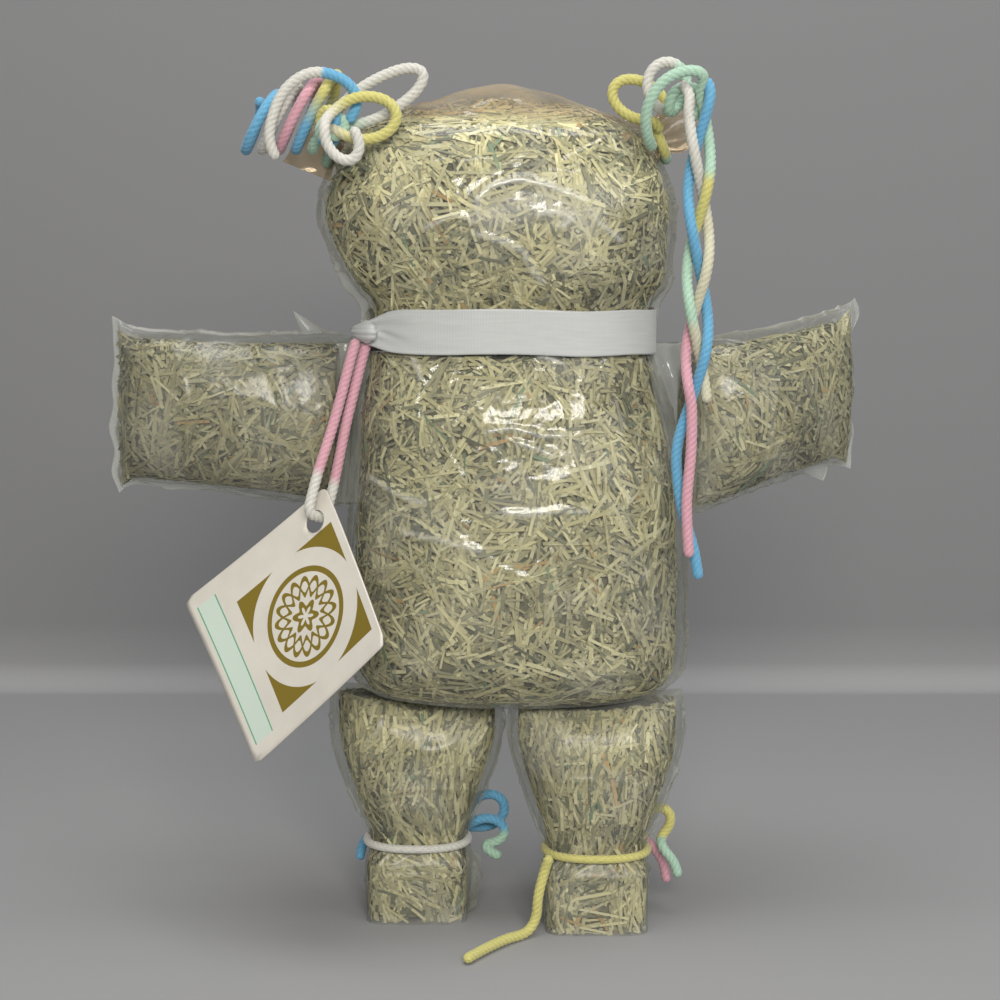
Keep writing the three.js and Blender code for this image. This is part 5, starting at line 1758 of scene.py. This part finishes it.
@dataclass
class NeckRibbon:
    """The satin ribbon round the neck, drawn together at a knot on the left."""

    centre: Array = fixed(1.0, 0.0, 168.0)
    wide: float = 39.35
    deep: float = 19.35
    width: float = 12.0
    gather: float = 6.5
    thick: float = 0.4
    knot_turn: float = 197.0
    knot: Array = fixed(-40.121, -8.829, 168.0)
    knot_out: Array = fixed(-0.817, -0.577, 0.0)

    def build(self, finishes: Finishes) -> None:
        """Make the band and the knot."""
        turns, columns = 360, 25
        turn = circle(turns)
        line, out = oval(turn, self.wide, self.deep)
        away = np.degrees(np.angle(np.exp(1j * (turn - math.radians(self.knot_turn)))))[:, None]
        near = np.exp(-(away / 16.0) ** 2)
        half = (self.width + (self.gather - self.width) * near) / 2
        across = np.linspace(-1, 1, columns)
        face = np.concatenate([across, across[::-1]])[None, :]
        layer = np.concatenate([np.ones(columns), -np.ones(columns)]) * self.thick / 2
        fold = (0.9 * near + 0.25 * np.exp(-(away / 40.0) ** 2)) * np.sin(face * 7.5 + turn[:, None] * 4)
        sway = (0.25 * np.sin(turn * 3 + 1.0) + 0.18 * np.sin(turn * 7))[:, None]
        crease = np.exp(-((face - 0.25 + 0.022 * away) / 0.17) ** 2) * np.exp(-((away - 14) / 13) ** 2)
        bulge = 2.3 * np.exp(-(away / 10.0) ** 2) * (1 - 0.5 * face ** 2)
        slack = 0.12 * waves(line, 15, 5, 5)[:, None]
        lift = 0.45 + fold * 0.55 + bulge - 0.8 * crease + slack
        points = (self.centre + line[:, None, :] + out[:, None, :] * (lift + layer)[..., None]
                  + np.array([0, 0, 1.0]) * (half * face + sway)[..., None])
        run = run_along(line)
        total = run[-1] + np.linalg.norm(line[0] - line[-1])
        uv = grid_uv(turns, 2 * columns, True, True, np.append(run, total), np.append(face, -1.0) * self.width / 2)
        band = put_mesh("neck_ribbon_band", points, grid_faces(turns, 2 * columns, True, True), None, uv)
        dress(band, finishes.ribbon, Slot.RIBBON, Body.TORSO, "neck_ribbon")
        self.lump(finishes)

    def lump(self, finishes: Finishes) -> None:
        """The knot: a low lump along the ribbon in level pleats, r = 0.93 + 0.08|cos(6 cos b)| sin b at polar angle b.

        It is taller towards the ribbon's front and runs out to a blunt end behind.
        """
        turns, rows = 72, 61
        a = circle(turns)[None, :]
        b = np.linspace(0, math.pi, rows)[:, None]
        size = 0.93 + 0.08 * np.abs(np.cos(6.0 * np.cos(b))) * np.sin(b) + 0 * a
        side = np.array([-self.knot_out[1], self.knot_out[0], 0.0])
        middle = self.knot - self.knot_out * 0.8 + side * 1.6
        points = (middle + self.knot_out * (2.3 * size * np.sin(b) * np.cos(a))[..., None]
                  + side * (5.6 * size * np.sin(b) * np.sin(a))[..., None]
                  + np.array([0, 0, 1.0]) * (2.9 * size * np.cos(b) * (1 + 0.18 * np.sin(a)))[..., None])
        points[0] = points[0].mean(axis=0)
        points[-1] = points[-1].mean(axis=0)
        uv = grid_uv(rows, turns, False, True, np.linspace(0, 12, rows), np.linspace(0, 22, turns + 1))
        knot = put_mesh("ribbon_knot_wound", points, grid_faces(rows, turns, False, True), None, uv)
        dress(knot, finishes.ribbon, Slot.RIBBON, Body.TORSO, "ribbon_knot")


@dataclass
class CardTag:
    """The square card that hangs by a corner hole on doubled yarn."""

    corner: Array = fixed(-49.4213, -14.6287, 126.7)
    right: Array = fixed(0.38209, -0.62014, -0.68515)
    normal: Array = fixed(-0.59288, -0.73321, 0.33301)
    side: float = 54.0
    rounded: float = 2.0
    hole: float = 6.4
    inset: float = 7.0
    thick: float = 0.6
    knot: Array = fixed(-40.121, -8.829, 163.1)
    knot_out: Array = fixed(-0.817, -0.577, 0.0)

    @property
    def up(self) -> Array:
        """The card's own upward direction."""
        return np.cross(self.normal, self.right)

    @property
    def hole_centre(self) -> Array:
        """The hole's middle."""
        return self.corner + self.right * self.inset - self.up * self.inset

    def build(self, finishes: Finishes) -> None:
        """Make the card and its string."""
        self.card(finishes)
        self.string(finishes)

    def card(self, finishes: Finishes) -> None:
        """The card: rays from the hole's rim to a square outline with rounded corners, on a slightly curled face.

        At angle t and share r a point is (1 - r) rim(t) + r outline(t), and the face lifts by the square of its
        distance from the diagonal through the hole.
        """
        rays, rings = 240, 30
        turn = circle(rays)
        way = np.stack([np.cos(turn), np.sin(turn)], axis=-1)
        low, high = -self.inset, self.side - self.inset
        ahead, behind = way > 1e-9, way < -1e-9
        reach = np.where(ahead, high / np.where(ahead, way, 1),
                         np.where(behind, low / np.where(behind, way, -1), 1e9)).min(axis=1)
        edge = way * reach[:, None]
        middle = (low + high) / 2
        inner = self.side / 2 - self.rounded
        local = edge - middle
        over = np.maximum(np.abs(local) - inner, 0.0)
        size = np.linalg.norm(over, axis=1, keepdims=True)
        cut = over * np.minimum(1, self.rounded / np.maximum(size, 1e-9))
        drawn = np.sign(local) * (np.minimum(np.abs(local), inner) + cut)
        edge = np.where(size > self.rounded, drawn, local) + middle
        rim = way * self.hole / 2
        share = np.linspace(0, 1, rings)[:, None, None]
        flat = rim * (1 - share) + edge * share
        x, y = flat[..., 0] + self.inset, flat[..., 1] + self.inset
        across = (x - y) / math.sqrt(2)
        along = (x + y) / math.sqrt(2)
        curl = 0.0022 * across ** 2 - 0.0007 * (along - 37) ** 2 + 0.3
        front = self.at(x, y, curl + self.thick / 2)
        back = self.at(x, y, curl - self.thick / 2)
        points = np.concatenate([front, back[::-1]])
        faces = grid_faces(2 * rings, rays, True, True)
        print_at = np.stack([x, y], axis=-1)
        uv_points = np.concatenate([print_at, print_at[::-1]]).reshape(-1, 2)
        face = np.concatenate([np.ones((rings, rays)), np.zeros((rings, rays))])
        tint = np.stack([face, face, face, np.ones_like(face)], axis=-1)
        piece = put_mesh("tag_card_printed", points, faces, tint, uv_points[faces.ravel()])
        dress(piece, finishes.card, Slot.CARD, Body.TAG, "tag_card")

    def at(self, x: Array, y: Array, lift: Array) -> Array:
        """Points of the card's own frame, x to its right and y down from its holed corner, in the doll's."""
        return self.corner + x[..., None] * self.right - y[..., None] * self.up + lift[..., None] * self.normal

    def string(self, finishes: Finishes) -> None:
        """The doubled yarn, from the knot through the hole and back."""
        n = self.normal
        rise = unit(self.up - self.right)
        hole = self.hole_centre + rise * (self.hole / 2 - YARN / 2 - 0.3)
        apart = self.knot_out * 1.85

        def over(face: float, lift: float) -> Array:
            """A point beside the card, from the hole towards the corner and past it."""
            return hole + n * face * 3.5 + rise * lift

        def climb(share: float) -> Array:
            """A point between the hole and the knot."""
            return over(0, 14) + (self.knot - over(0, 14)) * share

        tucked = np.array([0.0, 0.0, 3.0]) - self.knot_out * 1.2
        route = np.vstack([
            climb(1) + apart + tucked, climb(1) + apart, climb(0.7) + apart, climb(0.35) + apart * 1.1, over(1, 9.8),
            over(1, 4.2), hole + n * 3.2, hole, hole - n * 3.2, over(-1, 4.2), over(-1, 9.8),
            climb(0.35) - apart * 1.1, climb(0.7) - apart, climb(1) - apart, climb(1) - apart + tucked,
        ])
        string = YarnRun("tag_string_yarn", route, stretches((0.36, Dye.PINK), (0.62, Dye.WHITE), (1, Dye.PINK)),
                         Slot.PINK, Body.TAG, ("tag_string",))
        loose(string, finishes)


# ---------------------------------------------------------------------------------------------------------------
# Studio


@dataclass
class Studio:
    """The floor and backdrop in one sweep, the soft lamps and the camera."""

    wall: float = 0.296
    bend: float = 0.012
    eye: Array = field(default_factory=lambda: (np.array([-1.93, -500.0, 182.5]) + SHIFT) * MM)
    pitch: float = 83.0
    lens: float = 65.2

    def build(self, finishes: Finishes) -> None:
        """Make the sweep, the lamps, the world and the camera."""
        self.sweep(finishes)
        self.lamp("key", (0.08, -1.0, 0.52), (0.0, 0.0, 0.15), 0.45, 0.3, 8.4, "FFFBF4")
        self.lamp("fill", (0.75, -0.6, 0.3), (0.0, 0.0, 0.1), 0.5, 0.5, 1.2, "F4F7FF")
        self.lamp("top", (0.0, -0.16, 0.95), (0.0, 0.0, 0.15), 0.7, 0.4, 4.6, "FFFFFF")
        world = bpy.data.worlds.new("soft_room")
        world.use_nodes = True
        shade = world.node_tree.nodes["Background"]
        shade.inputs["Color"].default_value = linear("D9DBDD")
        shade.inputs["Strength"].default_value = 0.32
        bpy.context.scene.world = world
        camera = bpy.data.cameras.new("camera")
        camera.lens = self.lens
        camera.sensor_width = 36.0
        camera.clip_start = 0.01
        holder = bpy.data.objects.new("camera", camera)
        holder.location = self.eye
        holder.rotation_euler = (math.radians(self.pitch), 0.0, 0.0)
        bpy.context.scene.collection.objects.link(holder)
        bpy.context.scene.camera = holder
        bpy.context.scene.view_settings.view_transform = "Standard"

    def sweep(self, finishes: Finishes) -> None:
        """A floor that bends up into a backdrop: a straight run, a quarter circle and a straight rise."""
        angle = np.linspace(0, math.pi / 2, 24)
        y = np.concatenate([[-1.6], self.wall - self.bend + self.bend * np.sin(angle), [self.wall]])
        z = np.concatenate([[0.0], self.bend - self.bend * np.cos(angle), [1.6]])
        x = np.linspace(-1.8, 1.8, 9)[:, None]
        points = np.stack([x + 0 * y, y + 0 * x, z + 0 * x], axis=-1) / MM - SHIFT
        floor = put_mesh("studio_sweep", points, grid_faces(9, len(y), False, False)[:, ::-1], merge=False)
        floor.data.materials.append(finishes.studio)

    def lamp(self, name: str, place: Triple, target: Triple, wide: float,
             tall: float, power: float, colour: str) -> None:
        """A soft box lamp that faces a target.

        Args:
            name: The lamp's name.
            place: Where it stands, in metres.
            target: What it faces.
            wide: Its width.
            tall: Its height.
            power: Its power in watts.
            colour: Its colour.
        """
        light = bpy.data.lights.new(name, "AREA")
        light.shape = "RECTANGLE"
        light.size, light.size_y = wide, tall
        light.energy = power
        light.color = linear(colour)[:3]
        holder = bpy.data.objects.new(name, light)
        holder.location = place
        way = np.array(target) - np.array(place)
        flat = math.hypot(way[0], way[1])
        holder.rotation_euler = (math.pi / 2 - math.atan2(-way[2], flat), 0.0, math.atan2(-way[0], way[1]))
        bpy.context.scene.collection.objects.link(holder)


def main() -> None:
    """Build the doll piece by piece."""
    logging.basicConfig(level=logging.INFO, format="%(message)s")
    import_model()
    finishes = Finishes()
    Studio().build(finishes)
    Pigtails().build(finishes)
    AnkleTies().build(finishes)
    CardTag().build(finishes)
    NeckRibbon().build(finishes)
    EarTabs().build(finishes)
    Pouches().build(finishes)


if __name__ == "__main__":
    main()
